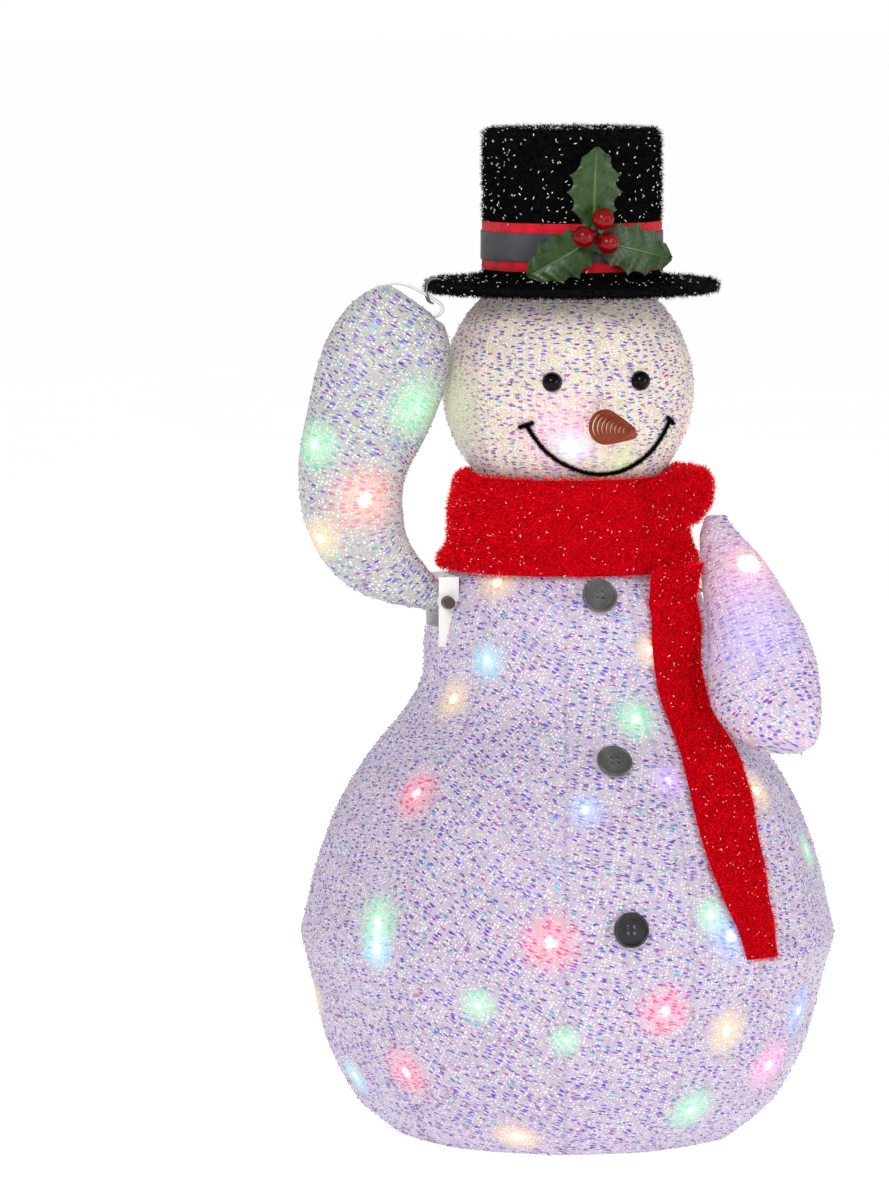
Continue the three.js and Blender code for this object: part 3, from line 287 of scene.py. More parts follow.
def make_wear_group():
    """Slight dirt and colour change over a hard surface."""
    n, i, o = group("hard_surface",
                    [("Vector", "vector", None), ("Colour", "colour", None), ("Dark", "colour", None),
                     ("Scale", "value", 60.0), ("Rough", "value", 0.4)],
                    [("Colour", "colour"), ("Roughness", "value"), ("Height", "value")])
    cloud = n.add("ShaderNodeTexNoise", {"Vector": i["Vector"], "Scale": i["Scale"], "Detail": 4.0}).outputs[0]
    fine = n.add("ShaderNodeTexNoise", {"Vector": i["Vector"], "Scale": 900.0, "Detail": 2.0}).outputs[0]
    n.put(o["Colour"], n.mix(n.ramp(cloud, 0.42, 0.75), i["Colour"], i["Dark"]))
    n.put(o["Roughness"], n.maths("ADD", i["Rough"], n.ramp(cloud, 0.3, 0.7, -0.06, 0.10)))
    n.put(o["Height"], n.maths("ADD", n.maths("MULTIPLY", cloud, 0.5), n.maths("MULTIPLY", fine, 0.5)))


def hard_material(name, colour, dark, rough, metallic=0.0, coat=0.0, scale=60.0, bump_mm=0.05, specular=0.5):
    _, n, shader = new_material(name)
    out = use_group(n, "hard_surface", {"Vector": object_coordinates(n), "Colour": rgba(colour), "Dark": rgba(dark),
                                        "Scale": scale, "Rough": rough})
    n.put(shader.inputs["Base Color"], out["Colour"])
    n.put(shader.inputs["Roughness"], out["Roughness"])
    shader.inputs["Metallic"].default_value = metallic
    shader.inputs["Coat Weight"].default_value = coat
    shader.inputs["Coat Roughness"].default_value = 0.05
    shader.inputs["Specular IOR Level"].default_value = specular
    bump(n, shader, out["Height"], bump_mm * MM)


def net_material(name, ground, shade, lights, stroke_share, warmth=0.0, tilt=0.0, glow=(0.0, 0.0, 0.0), shine=1.1):
    """The pale glittering net, with the lights behind it. Its UV map is in metres; a second one marks the ribs, along
    which a painted shadow darkens the net.
    """
    _, n, shader = new_material(name)
    here = object_coordinates(n)
    total = rgba(glow)
    for (x, y, z), colour, size in lights:
        total = use_group(n, "light_spot", {"Vector": here, "Centre": (x, y, z), "Colour": rgba(LIGHTS[colour]),
                                            "Size": size * MM, "Sum": total})["Sum"]
    turned = n.add("ShaderNodeMapping", {"Vector": uv(n, "cloth")})
    turned.inputs["Rotation"].default_value = (0, 0, math.radians(tilt))
    out = use_group(n, "glitter_net", {"Vector": turned.outputs[0], "Ground": rgba(ground), "Shade": rgba(shade),
                                       "Glow": total, "Stroke Share": stroke_share,
                                       "Warmth": edge_warmth(n, here, warmth)})
    ribs = n.add("ShaderNodeSeparateXYZ", {0: uv(n, "ribs")}).outputs[0]
    # Painted shadow: the net darkens towards each rib behind it.
    line = n.ramp(ribs, 0.0, 0.005, 0.22, 0.0, smooth=True)
    n.put(shader.inputs["Base Color"], n.mix(line, out["Colour"], (0.16, 0.14, 0.20, 1)))
    n.put(shader.inputs["Emission Color"], out["Emission"])
    shader.inputs["Emission Strength"].default_value = shine
    n.put(shader.inputs["Roughness"], n.ramp(out["Stroke"], 0.0, 1.0, 0.55, 0.25))
    n.put(shader.inputs["Metallic"], n.ramp(out["Stroke"], 0.0, 1.0, 0.0, 0.35))
    shader.inputs["Specular IOR Level"].default_value = 0.3
    bump(n, shader, out["Height"], 0.8 * MM, 0.8)


def edge_warmth(n, here, warmth):
    """warmth is one value, or (at the middle, at the sides)."""
    if not isinstance(warmth, tuple):
        return warmth
    across = n.maths("ABSOLUTE", n.add("ShaderNodeSeparateXYZ", {0: here}).outputs[0])
    return n.ramp(across, 0.07, 0.14, *warmth)


# ---- Mesh tools -----------------------------------------------------------------------------------------------
def deselect():
    bpy.ops.object.select_all(action="DESELECT")


def make_active(obj):
    deselect()
    obj.select_set(True)
    bpy.context.view_layer.objects.active = obj


def mesh_object(name, vertices, faces=(), edges=()):
    mesh = bpy.data.meshes.new(name)
    mesh.from_pydata([tuple(v) for v in vertices], list(edges), [tuple(f) for f in faces])
    mesh.update()
    obj = bpy.data.objects.new(name, mesh)
    bpy.context.scene.collection.objects.link(obj)
    return obj


def in_edit_mode(obj, work):
    make_active(obj)
    bpy.ops.object.mode_set(mode="EDIT")
    bpy.ops.mesh.select_all(action="SELECT")
    work()
    bpy.ops.object.mode_set(mode="OBJECT")


def close_up(obj, distance=1e-5):
    """Merges doubles and turns every face outwards."""

    def work():
        bpy.ops.mesh.remove_doubles(threshold=distance)
        bpy.ops.mesh.normals_make_consistent(inside=False)

    in_edit_mode(obj, work)


def turned(name, outline, steps, centre=(0, 0, 0)):
    """A body of revolution about a vertical axis: the [radius, height] outline is spun round."""
    points = [(0, -r, z) for r, z in outline]
    count = len(points)
    open_ended = outline[0][0] < 1e-6 and outline[-1][0] < 1e-6
    edges = [(k, k + 1) for k in range(count - 1)] + ([] if open_ended else [(count - 1, 0)])
    obj = mesh_object(name, points, edges=edges)
    in_edit_mode(obj, lambda: bpy.ops.mesh.spin(steps=steps, angle=math.tau, center=(0, 0, 0), axis=(0, 0, 1)))
    close_up(obj)
    obj.data.transform(Matrix.Translation(centre))
    return obj


def apply_modifier(obj, kind, **settings):
    make_active(obj)
    modifier = obj.modifiers.new(kind.title(), kind)
    for key, value in settings.items():
        setattr(modifier, key, value)
    bpy.ops.object.modifier_apply(modifier=modifier.name)


def cut_away(obj, *tools):
    for tool in tools:
        apply_modifier(obj, "BOOLEAN", operation="DIFFERENCE", solver="EXACT", object=tool)
        bpy.data.objects.remove(tool)


def smooth(obj, angle=40):
    make_active(obj)
    bpy.ops.object.shade_smooth_by_angle(angle=math.radians(angle))


def settle(obj, body, material, slot, *nodes):
    """Gives a piece its material and body, and hides the CAD nodes that it stands for. The record slot is not used."""
    obj.data.materials.clear()
    obj.data.materials.append(finish(material))
    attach(obj, body)
    if nodes:
        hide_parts(*nodes)


def tube(name, points, radius, sides=10, steps=8, taper=None):
    """A round cord or wire along a smooth path, with closed ends."""
    curve = bpy.data.curves.new(name, "CURVE")
    curve.dimensions = "3D"
    curve.bevel_depth = radius
    curve.bevel_resolution = max(0, sides // 4 - 1)
    curve.resolution_u = steps
    curve.use_fill_caps = True
    spline = curve.splines.new("NURBS")
    spline.points.add(len(points) - 1)
    for k, (point, p) in enumerate(zip(spline.points, points)):
        point.co = (*p, 1.0)
        point.radius = taper(k / (len(points) - 1)) if taper else 1.0
    spline.order_u = 4
    spline.use_endpoint_u = True
    obj = bpy.data.objects.new(name, curve)
    bpy.context.scene.collection.objects.link(obj)
    make_active(obj)
    bpy.ops.object.convert(target="MESH")
    obj = bpy.context.object
    close_up(obj, 1e-6)
    smooth(obj, 60)
    return obj


def polar(radius, degrees, z):
    turn = math.radians(degrees)
    return Vector((radius * math.sin(turn), -radius * math.cos(turn), z))


def front_outline(node):
    """[height, radius] up the outer face of a turned CAD node, read from its own front edge."""
    column = {}
    for v in NODES[node].data.vertices:
        if abs(v.co.x) < 1e-5 and v.co.y < 0:
            z = round(v.co.z, 4)
            column[z] = max(column.get(z, 0.0), -v.co.y)
    heights = sorted(column)
    return [(z, column[z]) for z in heights]


def smooth_curve(points, count):
    """Points spaced evenly along a smooth curve through some others."""
    p = np.array(points, float)
    padded = np.vstack([2 * p[0] - p[1], p, 2 * p[-1] - p[-2]])
    out = []
    for k in range(len(p) - 1):
        a, b, c, d = padded[k:k + 4]
        for t in np.linspace(0, 1, 24, endpoint=False):
            out.append(0.5 * (2 * b + (c - a) * t + (2 * a - 5 * b + 4 * c - d) * t ** 2
                              + (3 * b - a - 3 * c + d) * t ** 3))
    out.append(p[-1])
    out = np.array(out)
    reach = np.concatenate([[0], np.cumsum(np.linalg.norm(np.diff(out, axis=0), axis=1))])
    even = np.linspace(0, reach[-1], count)
    return np.stack([np.interp(even, reach, out[:, k]) for k in range(out.shape[1])], axis=1)


def write_uv(obj, name, values):
    """A UV map from one [u, v] for each face corner."""
    layer = obj.data.uv_layers.get(name) or obj.data.uv_layers.new(name=name)
    layer.uv.foreach_set("vector", np.asarray(values, np.float32).ravel())


def corner_positions(obj):
    mesh = obj.data
    co = np.empty(len(mesh.vertices) * 3)
    mesh.vertices.foreach_get("co", co)
    index = np.empty(len(mesh.loops), int)
    mesh.loops.foreach_get("vertex_index", index)
    return co.reshape(-1, 3)[index]


def face_of_corner(obj):
    mesh = obj.data
    totals = np.empty(len(mesh.polygons), int)
    mesh.polygons.foreach_get("loop_total", totals)
    return np.repeat(np.arange(len(totals)), totals)


def per_face_mean(values, faces):
    count = np.bincount(faces)
    return (np.bincount(faces, values) / count)[faces]


def net_uv(obj, ribs, reach, tilts):
    """UV maps in metres for a net over ribs: a patch between each two ribs, and each corner's distance from a rib."""
    p = corner_positions(obj)
    faces = face_of_corner(obj)
    x, y = p[:, 0], p[:, 1]
    radius = np.hypot(x, y)
    turn = np.degrees(np.arctan2(x, -y))
    middle_x, middle_y = per_face_mean(x, faces), per_face_mean(y, faces)
    face_turn = np.degrees(np.arctan2(middle_x, -middle_y))
    turn = face_turn + (turn - face_turn + 180) % 360 - 180
    edges = np.array(sorted(ribs))
    low = (np.searchsorted(edges, face_turn) - 1) % len(edges)
    start = edges[low]
    width = (edges[(low + 1) % len(edges)] - start) % 360
    offset = (turn - start + 180 + 1e-6) % 360 - 180
    offset = np.where(offset < -90, offset + 360, offset)
    along = np.radians(offset - width / 2) * radius
    up = reach(p[:, 2])
    lean = np.radians(np.array([tilts.get(edges[k], 0.0) for k in low]))
    u = along * np.cos(lean) + up * np.sin(lean) + low * 0.731
    v = -along * np.sin(lean) + up * np.cos(lean) + low * 0.377
    write_uv(obj, "cloth", np.stack([u, v], axis=1))
    away = np.radians(np.minimum(offset, width - offset)) * radius
    write_uv(obj, "ribs", np.stack([np.maximum(away, 0.0), up], axis=1))


def surface_sample(obj, count, rng, keep=None):
    """Random points on a surface with their normals."""
    mesh = obj.data
    mesh.calc_loop_triangles()
    tri = np.empty(len(mesh.loop_triangles) * 3, int)
    mesh.loop_triangles.foreach_get("vertices", tri)
    co = np.empty(len(mesh.vertices) * 3)
    mesh.vertices.foreach_get("co", co)
    corners = co.reshape(-1, 3)[tri.reshape(-1, 3)]
    normal = np.cross(corners[:, 1] - corners[:, 0], corners[:, 2] - corners[:, 0])
    area = np.linalg.norm(normal, axis=1)
    normal = normal / np.maximum(area, 1e-15)[:, None]
    weight = area.copy()
    if keep is not None:
        weight *= keep(corners.mean(axis=1), normal)
    pick = rng.choice(len(area), size=count, p=weight / weight.sum())
    a, b = rng.random(count), rng.random(count)
    flip = a + b > 1
    a[flip], b[flip] = 1 - a[flip], 1 - b[flip]
    c = corners[pick]
    return c[:, 0] + a[:, None] * (c[:, 1] - c[:, 0]) + b[:, None] * (c[:, 2] - c[:, 0]), normal[pick]


def unit(v):
    return v / np.maximum(np.linalg.norm(v, axis=1), 1e-12)[:, None]


GLINT_LIFT, GLINT_LENGTH, GLINT_WIDTH = 0.0055, 0.42, 1.05


def strips(name, points, normals, rng, length, width, rise, bend=0.0, lie=None, glints=0.0):
    """Many thin closed strips of film, one at each point. rise is how far each stands up, from 0 flat to 1 upright.
    glints is the share of them that are broad and white, painted highlights near the tips of the rest."""
    count = len(points)
    bright = rng.random(count) < glints
    points = points + normals * (bright * GLINT_LIFT)[:, None]
    side = unit(np.cross(normals, rng.normal(size=(count, 3)) if lie is None else lie))
    flat = unit(np.cross(side, normals))
    stand = np.where(bright, 0.12, rng.uniform(*rise, count))[:, None]
    along = unit(flat * np.sqrt(1 - stand ** 2) + normals * stand)
    across = unit(np.cross(along, normals) + np.where(bright, 0.1, 0.5)[:, None] * rng.normal(size=(count, 3)))
    through = np.cross(along, across)
    reach = (rng.uniform(*length, count) * np.where(bright, GLINT_LENGTH, 1.0))[:, None]
    half = (rng.uniform(*width, count) * np.where(bright, GLINT_WIDTH, 1.0))[:, None] / 2
    foot = points - along * reach * 0.15
    middle = points + along * reach * 0.4 + through * reach * bend * rng.uniform(-1, 1, (count, 1))
    tip = points + along * reach * 0.85
    belt = [middle + across * half, middle - across * half * 0.5 + through * half * 0.5,
            middle - across * half * 0.5 - through * half * 0.5]
    vertices = np.stack([foot, *belt, tip], axis=1).reshape(-1, 3)
    pattern = np.array([(0, 2, 1), (0, 3, 2), (0, 1, 3), (4, 1, 2), (4, 2, 3), (4, 3, 1)])
    faces = (pattern[None] + 5 * np.arange(count)[:, None, None]).reshape(-1, 3)
    mesh = bpy.data.meshes.new(name)
    mesh.vertices.add(len(vertices))
    mesh.vertices.foreach_set("co", vertices.astype(np.float32).ravel())
    mesh.loops.add(len(faces) * 3)
    mesh.loops.foreach_set("vertex_index", faces.astype(np.int32).ravel())
    mesh.polygons.add(len(faces))
    mesh.polygons.foreach_set("loop_start", np.arange(0, len(faces) * 3, 3, dtype=np.int32))
    mesh.update(calc_edges=True)
    obj = bpy.data.objects.new(name, mesh)
    bpy.context.scene.collection.objects.link(obj)
    pick = rng.random((count, 2))
    # The glint strips take the last colour stop: painted highlights.
    pick[:, 0] = np.where(bright, 1.0, pick[:, 0] * 0.97)
    write_uv(obj, "pick", np.repeat(pick, len(pattern) * 3, axis=0))
    return obj


def skin(name, rows, uv_grid=None, close_start=False, close_end=False):
    """A tube over closed rings of points, all of one size. uv_grid gives [u, v] for each row and column, with one
    column more than there are points."""
    rows = np.asarray(rows, float)
    high, round_ = rows.shape[:2]
    vertices = list(rows.reshape(-1, 3))
    faces, corners = [], []
    for i in range(high - 1):
        for j in range(round_):
            k = (j + 1) % round_
            faces.append((i * round_ + j, i * round_ + k, (i + 1) * round_ + k, (i + 1) * round_ + j))
            corners += [(i, j), (i, j + 1), (i + 1, j + 1), (i + 1, j)]
    for row, wanted in ((0, close_start), (high - 1, close_end)):
        if wanted:
            centre = len(vertices)
            vertices.append(rows[row].mean(axis=0))
            for j in range(round_):
                k = (j + 1) % round_
                a, b = (k, j) if row == 0 else (j, k)
                faces.append((row * round_ + a, row * round_ + b, centre))
                corners += [(row, j + (row == 0)), (row, j + (row != 0)), (row, j)]
    obj = mesh_object(name, vertices, faces)
    if uv_grid is not None:
        place = np.array(corners)
        write_uv(obj, "cloth", uv_grid[place[:, 0], place[:, 1]])
    return obj


def smooth_all(obj):
    make_active(obj)
    bpy.ops.object.shade_smooth()


def surface_area(obj):
    return sum(face.area for face in obj.data.polygons)


def thicken(obj, thickness):
    apply_modifier(obj, "SOLIDIFY", thickness=thickness, offset=-1.0, use_rim=True)
    smooth(obj, 50)


def facing(direction, place):
    return Matrix.Translation(place) @ Vector((0, 0, 1)).rotation_difference(Vector(direction)).to_matrix().to_4x4()


def metres(table):
    return [tuple(v * MM for v in row) for row in table]


# ---- Net covers -----------------------------------------------------------------------------------------------
BODY_OUTLINE = front_outline("body_cover")
CUSP = 0.240
RINGS = (0.240, 0.590, 0.731)
HEAD_CENTRE = 0.895
HEAD_RADIUS = 0.150
HEAD_RIBS = (0, 60, 120, 180, 240, 300)
NET_THICKNESS = 0.002
NET_PULL, RING_REACH = 0.38, 0.04  # how flat the net is between ribs, and how far a ring holds it round
SHOULDER_OPENING = ((-0.200, -0.044, 0.614), (-0.110, 0.024, 0.664))


def smooth_outline():
    """The body's outline as a smooth curve with a crease at its widest ring."""
    low = [p for p in BODY_OUTLINE if p[0] <= CUSP + 1e-4]
    high = [p for p in BODY_OUTLINE if p[0] >= CUSP - 1e-4]
    return np.vstack([smooth_curve(low, 40)[:-1], smooth_curve(high, 80)])


OUTLINE = smooth_outline()
OUTLINE_REACH = np.concatenate([[0], np.cumsum(np.hypot(*np.diff(OUTLINE, axis=0).T))])
BODY_TILTS = {-50: -30, -14: -15, 14: -8, 50: 20}  # degrees that the knit leans, by the rib that its panel starts at


def body_radius(z, degrees=None):
    """Radius of the body's net: it is round at the ribs and rings, and flatter between them."""
    radius = np.interp(z, OUTLINE[:, 0], OUTLINE[:, 1])
    if degrees is None:
        return radius
    edges = sorted(RIBS)
    turn = (degrees + 180) % 360 - 180
    low = max((e for e in edges if e <= turn + 1e-9), default=edges[-1] - 360)
    high = min((e for e in edges if e > turn + 1e-9), default=edges[0] + 360)
    half, off = math.radians((high - low) / 2), math.radians(turn - (high + low) / 2)
    pull = NET_PULL
    for ring in RINGS:
        pull *= 1 - math.exp(-((z - ring) / RING_REACH) ** 2)
    return radius * (1 - pull * (1 - math.cos(half) / math.cos(off)))


def rib_columns(ribs, step=3.0):
    """Angles round a net with one on every rib."""
    edges = sorted(ribs)
    columns = []
    for k, low in enumerate(edges):
        high = edges[(k + 1) % len(edges)] + (360 if k == len(edges) - 1 else 0)
        columns += list(np.linspace(low, high, max(2, round((high - low) / step)), endpoint=False))
    return columns


FLECK_LENGTH, FLECK_WIDTH, FLECK_RISE, FLECK_LIFT = (0.0045, 0.0085), (0.0013, 0.0021), (0.02, 0.30), 0.0003


def make_flecks(net, body, share, rng, keep=None):
    """Strips of film that stand a little off the net and catch the light. They are set out before the net gets its
    thickness."""
    count = int(surface_area(net) * share)
    points, normals = surface_sample(net, count, rng, keep)
    level = unit(np.cross((0.0, 0.0, 1.0), normals) + (1e-6, 0.0, 0.0))
    lean = np.radians(rng.normal(-14, 16, count))[:, None]
    lie = level * np.cos(lean) + np.cross(normals, level) * np.sin(lean)
    name = net.name.replace("_net", "_flecks")
    flecks = strips(name, points + normals * FLECK_LIFT, normals, rng, FLECK_LENGTH, FLECK_WIDTH, FLECK_RISE,
                    lie=lie)
    settle(flecks, body, name, "crystal_cloth")


def make_body_cover(settings):
    columns = rib_columns(RIBS)
    rows = [[polar(body_radius(z, a), a, z) for a in columns] for z, _ in OUTLINE]
    obj = skin("body_net", rows)
    net_uv(obj, RIBS, lambda z: np.interp(z, OUTLINE[:, 0], OUTLINE_REACH), BODY_TILTS)
    make_flecks(obj, "root", settings.flecks, np.random.default_rng(11), outside_opening)
    thicken(obj, NET_THICKNESS)
    low, high = SHOULDER_OPENING
    bpy.ops.mesh.primitive_cube_add(size=1)
    tool = bpy.context.object
    tool.data.transform(Matrix.Translation((Vector(low) + Vector(high)) / 2)
                        @ Matrix.Diagonal((*(Vector(high) - Vector(low)), 1)))
    cut_away(obj, tool)
    smooth(obj, 50)
    settle(obj, "root", "body_net", "crystal_cloth", "body_cover")


def make_head_cover(settings):
    columns = rib_columns(HEAD_RIBS, 4.0)
    low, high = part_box("head_cover")
    turns = np.linspace(math.asin((low.z - HEAD_CENTRE) / HEAD_RADIUS),
                        math.asin((high.z - HEAD_CENTRE) / HEAD_RADIUS), 60)
    heights = [HEAD_CENTRE + HEAD_RADIUS * math.sin(t) for t in turns]
    rows = [[polar(HEAD_RADIUS * math.cos(t), a, z) for a in columns] for t, z in zip(turns, heights)]
    top = HEAD_RADIUS * math.cos(turns[-1])
    rows += [[polar(top * share, a, high.z) for a in columns] for share in (0.97, 0.8, 0.6, 0.4, 0.2, 0.04)]
    obj = skin("head_net", rows, close_end=True)
    reach = lambda z: HEAD_RADIUS * np.arcsin(np.clip((z - HEAD_CENTRE) / HEAD_RADIUS, -1, 1))
    net_uv(obj, HEAD_RIBS, reach, {})
    make_flecks(obj, "root", settings.flecks, np.random.default_rng(12))
    thicken(obj, NET_THICKNESS)
    settle(obj, "root", "head_net", "crystal_cloth", "head_cover")


def limb_rows(sections, across, count=70, sides=48):
    """Rings of points down a limb. sections are [x, y, z, half width, half depth]; across(along) is side to side."""
    even = smooth_curve(sections, count)
    along = unit(np.gradient(even[:, :3], axis=0))
    rows, grid, reach = [], [], 0.0
    for k, (row, way) in enumerate(zip(even, along)):
        side = across(way)
        deep = np.cross(way, side)
        turns = np.linspace(0, math.tau, sides, endpoint=False)
        rows.append(row[:3] + np.outer(np.cos(turns), side) * row[3] + np.outer(np.sin(turns), deep) * row[4])
        reach += float(np.linalg.norm(row[:3] - even[k - 1][:3])) if k else 0.0
        girth = math.pi * (row[3] + row[4])
        grid.append([(girth * (j / sides - 0.75), reach) for j in range(sides + 1)])
    return rows, np.array(grid), reach


def raised_across(along):
    return np.array((along[2], 0.0, -along[0]))


def hanging_across(_along):
    turn = math.radians(HANGING_ARM_TURN)
    return np.array((math.cos(turn), -math.sin(turn), 0.0))


def make_arm_covers(settings):
    raised = [(x, RAISED_ARM_Y * MM, z, a, b) for x, z, a, b in metres(RAISED_ARM)]
    arms = [("raised_arm_net", raised, raised_across, "raised_arm", "right_arm_cover", "right_arm_frame"),
            ("hanging_arm_net", metres(HANGING_ARM), hanging_across, "root", "left_arm_cover", "left_arm_frame")]
    for name, sections, across, body, node, held_by in arms:
        rows, grid, reach = limb_rows(sections, across)
        obj = skin(name, rows, grid, close_start=True, close_end=True)
        write_uv(obj, "ribs", np.full((len(obj.data.loops), 2), 1.0))
        make_flecks(obj, body, settings.flecks, np.random.default_rng(13))
        thicken(obj, NET_THICKNESS)
        settle(obj, body, name, "crystal_cloth", node)


def outside_opening(middle, _normal):
    low, high = SHOULDER_OPENING
    return (~np.all((middle > low) & (middle < high), axis=1)).astype(float)


# ---- Face -----------------------------------------------------------------------------------------------------
EYE_ANGLE, EYE_Z, EYE_RADIUS = 20.8, 0.912, 0.0115
NOSE = {"angle": 2, "yaw": 5, "z": 0.859, "length": 0.104, "cord": 0.0046, "turns": 9, "tip": 0.0062}
NOSE_CONE = ((0, 0.5, 1), (0.0180, 0.0112, 0.0034))  # radius by share of the length
SMILE = ((-33, 861), (-25, 831), (-12.5, 811), (3.5, 802), (20, 807), (33, 828), (40.5, 862))
MOUTH_STROKES = (((-36.5, 858), (-29.5, 864)), ((38, 867), (43.5, 859)))


def make_eyes():
    r = EYE_RADIUS
    dome = [(r * math.cos(t), r * math.sin(t)) for t in np.linspace(-0.2, math.pi / 2, 18)[:-1]]
    outline = [(0, -0.0028), (r * 0.9, -0.0028), (r * 1.02, -0.0022), (r * 1.04, -0.0012)] + dome + [(0, r)]
    for side, node in ((-1, "eye_left"), (1, "eye_right")):
        place = polar(HEAD_RADIUS + 0.0015, side * EYE_ANGLE, EYE_Z)
        obj = turned(node.replace("eye", "bead_eye"), outline, 48)
        obj.data.transform(facing(polar(1, side * EYE_ANGLE, 0), place))
        smooth(obj, 50)
        settle(obj, "root", "black_gloss", "black_gloss", node)


def nose_matrix():
    direction = Matrix.Rotation(math.radians(NOSE["yaw"]), 3, "Z") @ Vector((0, -1, 0))
    return facing(direction, polar(HEAD_RADIUS + 0.003, NOSE["angle"], NOSE["z"]))


def nose_radius(share):
    return float(np.interp(share, *NOSE_CONE))


def make_nose():
    length, cord = NOSE["length"], NOSE["cord"]
    cone = [(nose_radius(t), length * t) for t in np.linspace(0, 1, 40)]
    core = turned("nose_cone", [(0, 0), *cone, (0, length + 0.001)], 48)
    core.data.transform(nose_matrix())
    smooth(core, 50)
    settle(core, "root", "nose_glow", "cream_plastic", "nose_core")

    turns, thick = NOSE["turns"], cord / 2
    path = []
    for k in range(int(turns * 16) + 1):
        turn = k / 16
        share = (turn / turns) ** 0.92
        reach = nose_radius(share) + thick * 0.9
        angle = math.tau * turn
        path.append((reach * math.cos(angle), reach * math.sin(angle), thick + share * (length - thick)))
    coil = tube("nose_coil", path, thick, sides=12, steps=3)
    tip = NOSE["tip"]
    ball = [(tip * math.sin(t), tip * -math.cos(t)) for t in np.linspace(0.25, math.pi - 0.1, 14)]
    blob = turned("nose_tip", [(0, -tip), *ball, (0, tip)], 24)
    blob.data.transform(Matrix.Translation((0, 0, length - tip * 0.4)))
    make_active(coil)
    blob.select_set(True)
    bpy.ops.object.join()
    coil.data.transform(nose_matrix())
    smooth(coil, 60)
    settle(coil, "root", "copper_cord", "copper_cord", "nose_winding")


def on_head(degrees, z, lift):
    radius = math.sqrt(HEAD_RADIUS ** 2 - (z - HEAD_CENTRE) ** 2)
    centre = Vector((0, 0, HEAD_CENTRE))
    return centre + (polar(radius, degrees, z) - centre).normalized() * (HEAD_RADIUS + lift)


def make_mouth(rng):
    lift = 0.0029
    smile = smooth_curve([(a, z * MM) for a, z in SMILE], 30)
    cords = [tube("mouth_smile", [on_head(a, z, lift) for a, z in smile], 0.0019, 10, 3)]
    for ends in MOUTH_STROKES:
        path = np.linspace(ends[0], ends[1], 7)
        cords.append(tube("mouth_stroke", [on_head(a, z * MM, lift + 0.0004) for a, z in path], 0.0021, 10, 3))
    make_active(cords[0])
    for cord in cords[1:]:
        cord.select_set(True)
    bpy.ops.object.join()
    obj = bpy.context.object
    obj.name = "chenille_mouth"
    points, normals = surface_sample(obj, 5200, rng)
    settle(obj, "root", "black_tinsel", "black_tinsel", "mouth_cord")
    pile = strips("mouth_pile", points, normals, rng, (0.0018, 0.0036), (0.0004, 0.0007), (0.5, 0.95))
    settle(pile, "root", "mouth_pile", "black_tinsel")


# ---- Buttons --------------------------------------------------------------------------------------------------
BUTTONS = {"button_top": 0.659, "button_middle": 0.471, "button_bottom": 0.284}
BUTTON_RADIUS, BUTTON_THICK, BUTTON_RIM, BUTTON_HOLE, BUTTON_HOLE_PLACE = 0.021, 0.005, 0.0036, 0.0023, 0.0046


def make_buttons():
    r, thick, rim = BUTTON_RADIUS, BUTTON_THICK, BUTTON_RIM
    rounded = [(r - rim / 2 + (rim / 2) * math.cos(t), thick - 0.0018 + 0.0018 * math.sin(t))
               for t in np.linspace(0, math.pi, 10)]
    outline = [(0, 0), (r * 0.86, 0), (r - 0.001, 0.0006), (r, 0.0018), *rounded,
               (r - rim - 0.0006, thick - 0.0024), (r * 0.6, thick - 0.0027), (r * 0.36, thick - 0.0019),
               (0, thick - 0.0022)]
    bpy.ops.mesh.primitive_cylinder_add(vertices=20, radius=BUTTON_HOLE, depth=0.04)
    drill = bpy.context.object
    master = turned("button", outline, 64)
    for turn in (45, 135, 225, 315):
        tool = bpy.data.objects.new("drill", drill.data.copy())
        bpy.context.scene.collection.objects.link(tool)
        tool.data.transform(Matrix.Translation(polar(BUTTON_HOLE_PLACE * math.sqrt(2) * 0.82, turn, 0)))
        cut_away(master, tool)
    bpy.data.objects.remove(drill)
    for node, z in BUTTONS.items():
        obj = bpy.data.objects.new(node.replace("button", "coat_button"), master.data.copy())
        bpy.context.scene.collection.objects.link(obj)
        slope = (body_radius(z + 0.012) - body_radius(z - 0.012)) / 0.024
        obj.data.transform(facing((0, -1, -slope), (0, -(body_radius(z) + 0.0022), z)))
        smooth(obj, 35)
        settle(obj, "root", "button_black" if node == "button_bottom" else "button_bronze", "black_gloss", node)
    bpy.data.objects.remove(master)


# ---- Scarf ----------------------------------------------------------------------------------------------------
WRAP_OUTLINE = ((153, 682), (158, 686), (156, 694), (148, 708), (144, 732), (142, 765), (139, 785), (131, 793),
                (119, 792), (112, 782), (112, 745), (117, 729), (133, 708), (147, 692))
FOLD = {"angle": 77, "spread": 20, "z": 0.770, "half": 0.036, "swell": 0.033, "lift": 0.009}
# [height, degrees round from the front, width] down the hanging end
TAIL = ((690, 38.8, 96), (676, 38.4, 94), (640, 38.2, 92), (600, 36.4, 90), (560, 36.6, 86), (520, 36, 86),
        (486, 34.5, 92), (455, 32.3, 99), (410, 29.2, 94), (368, 28.2, 87), (312, 29, 72), (275, 30.7, 58),
        (240, 32, 52))
TAIL_THICK, TAIL_CLEAR = 0.008, 0.0035
WRAP_STRIPS, TAIL_STRIPS = 24000, 9500
PILE_RISE = (0.25, 0.95)  # from leaning to nearly upright


def scarf_pile(cloth, name, count, rng, keep):
    """Tinsel strips over the outer side of a piece of the scarf, most of them lying level."""
    points, normals = surface_sample(cloth, count, rng, keep)
    lie = unit(np.cross(normals, (0.0, 0.0, 1.0)) + 0.8 * rng.normal(size=points.shape))
    pile = strips(name, points, normals, rng, (0.0045, 0.0105), (0.0008, 0.0014), PILE_RISE, 0.25, lie, 0.020)
    settle(pile, "root", "red_tinsel", "red_tinsel")


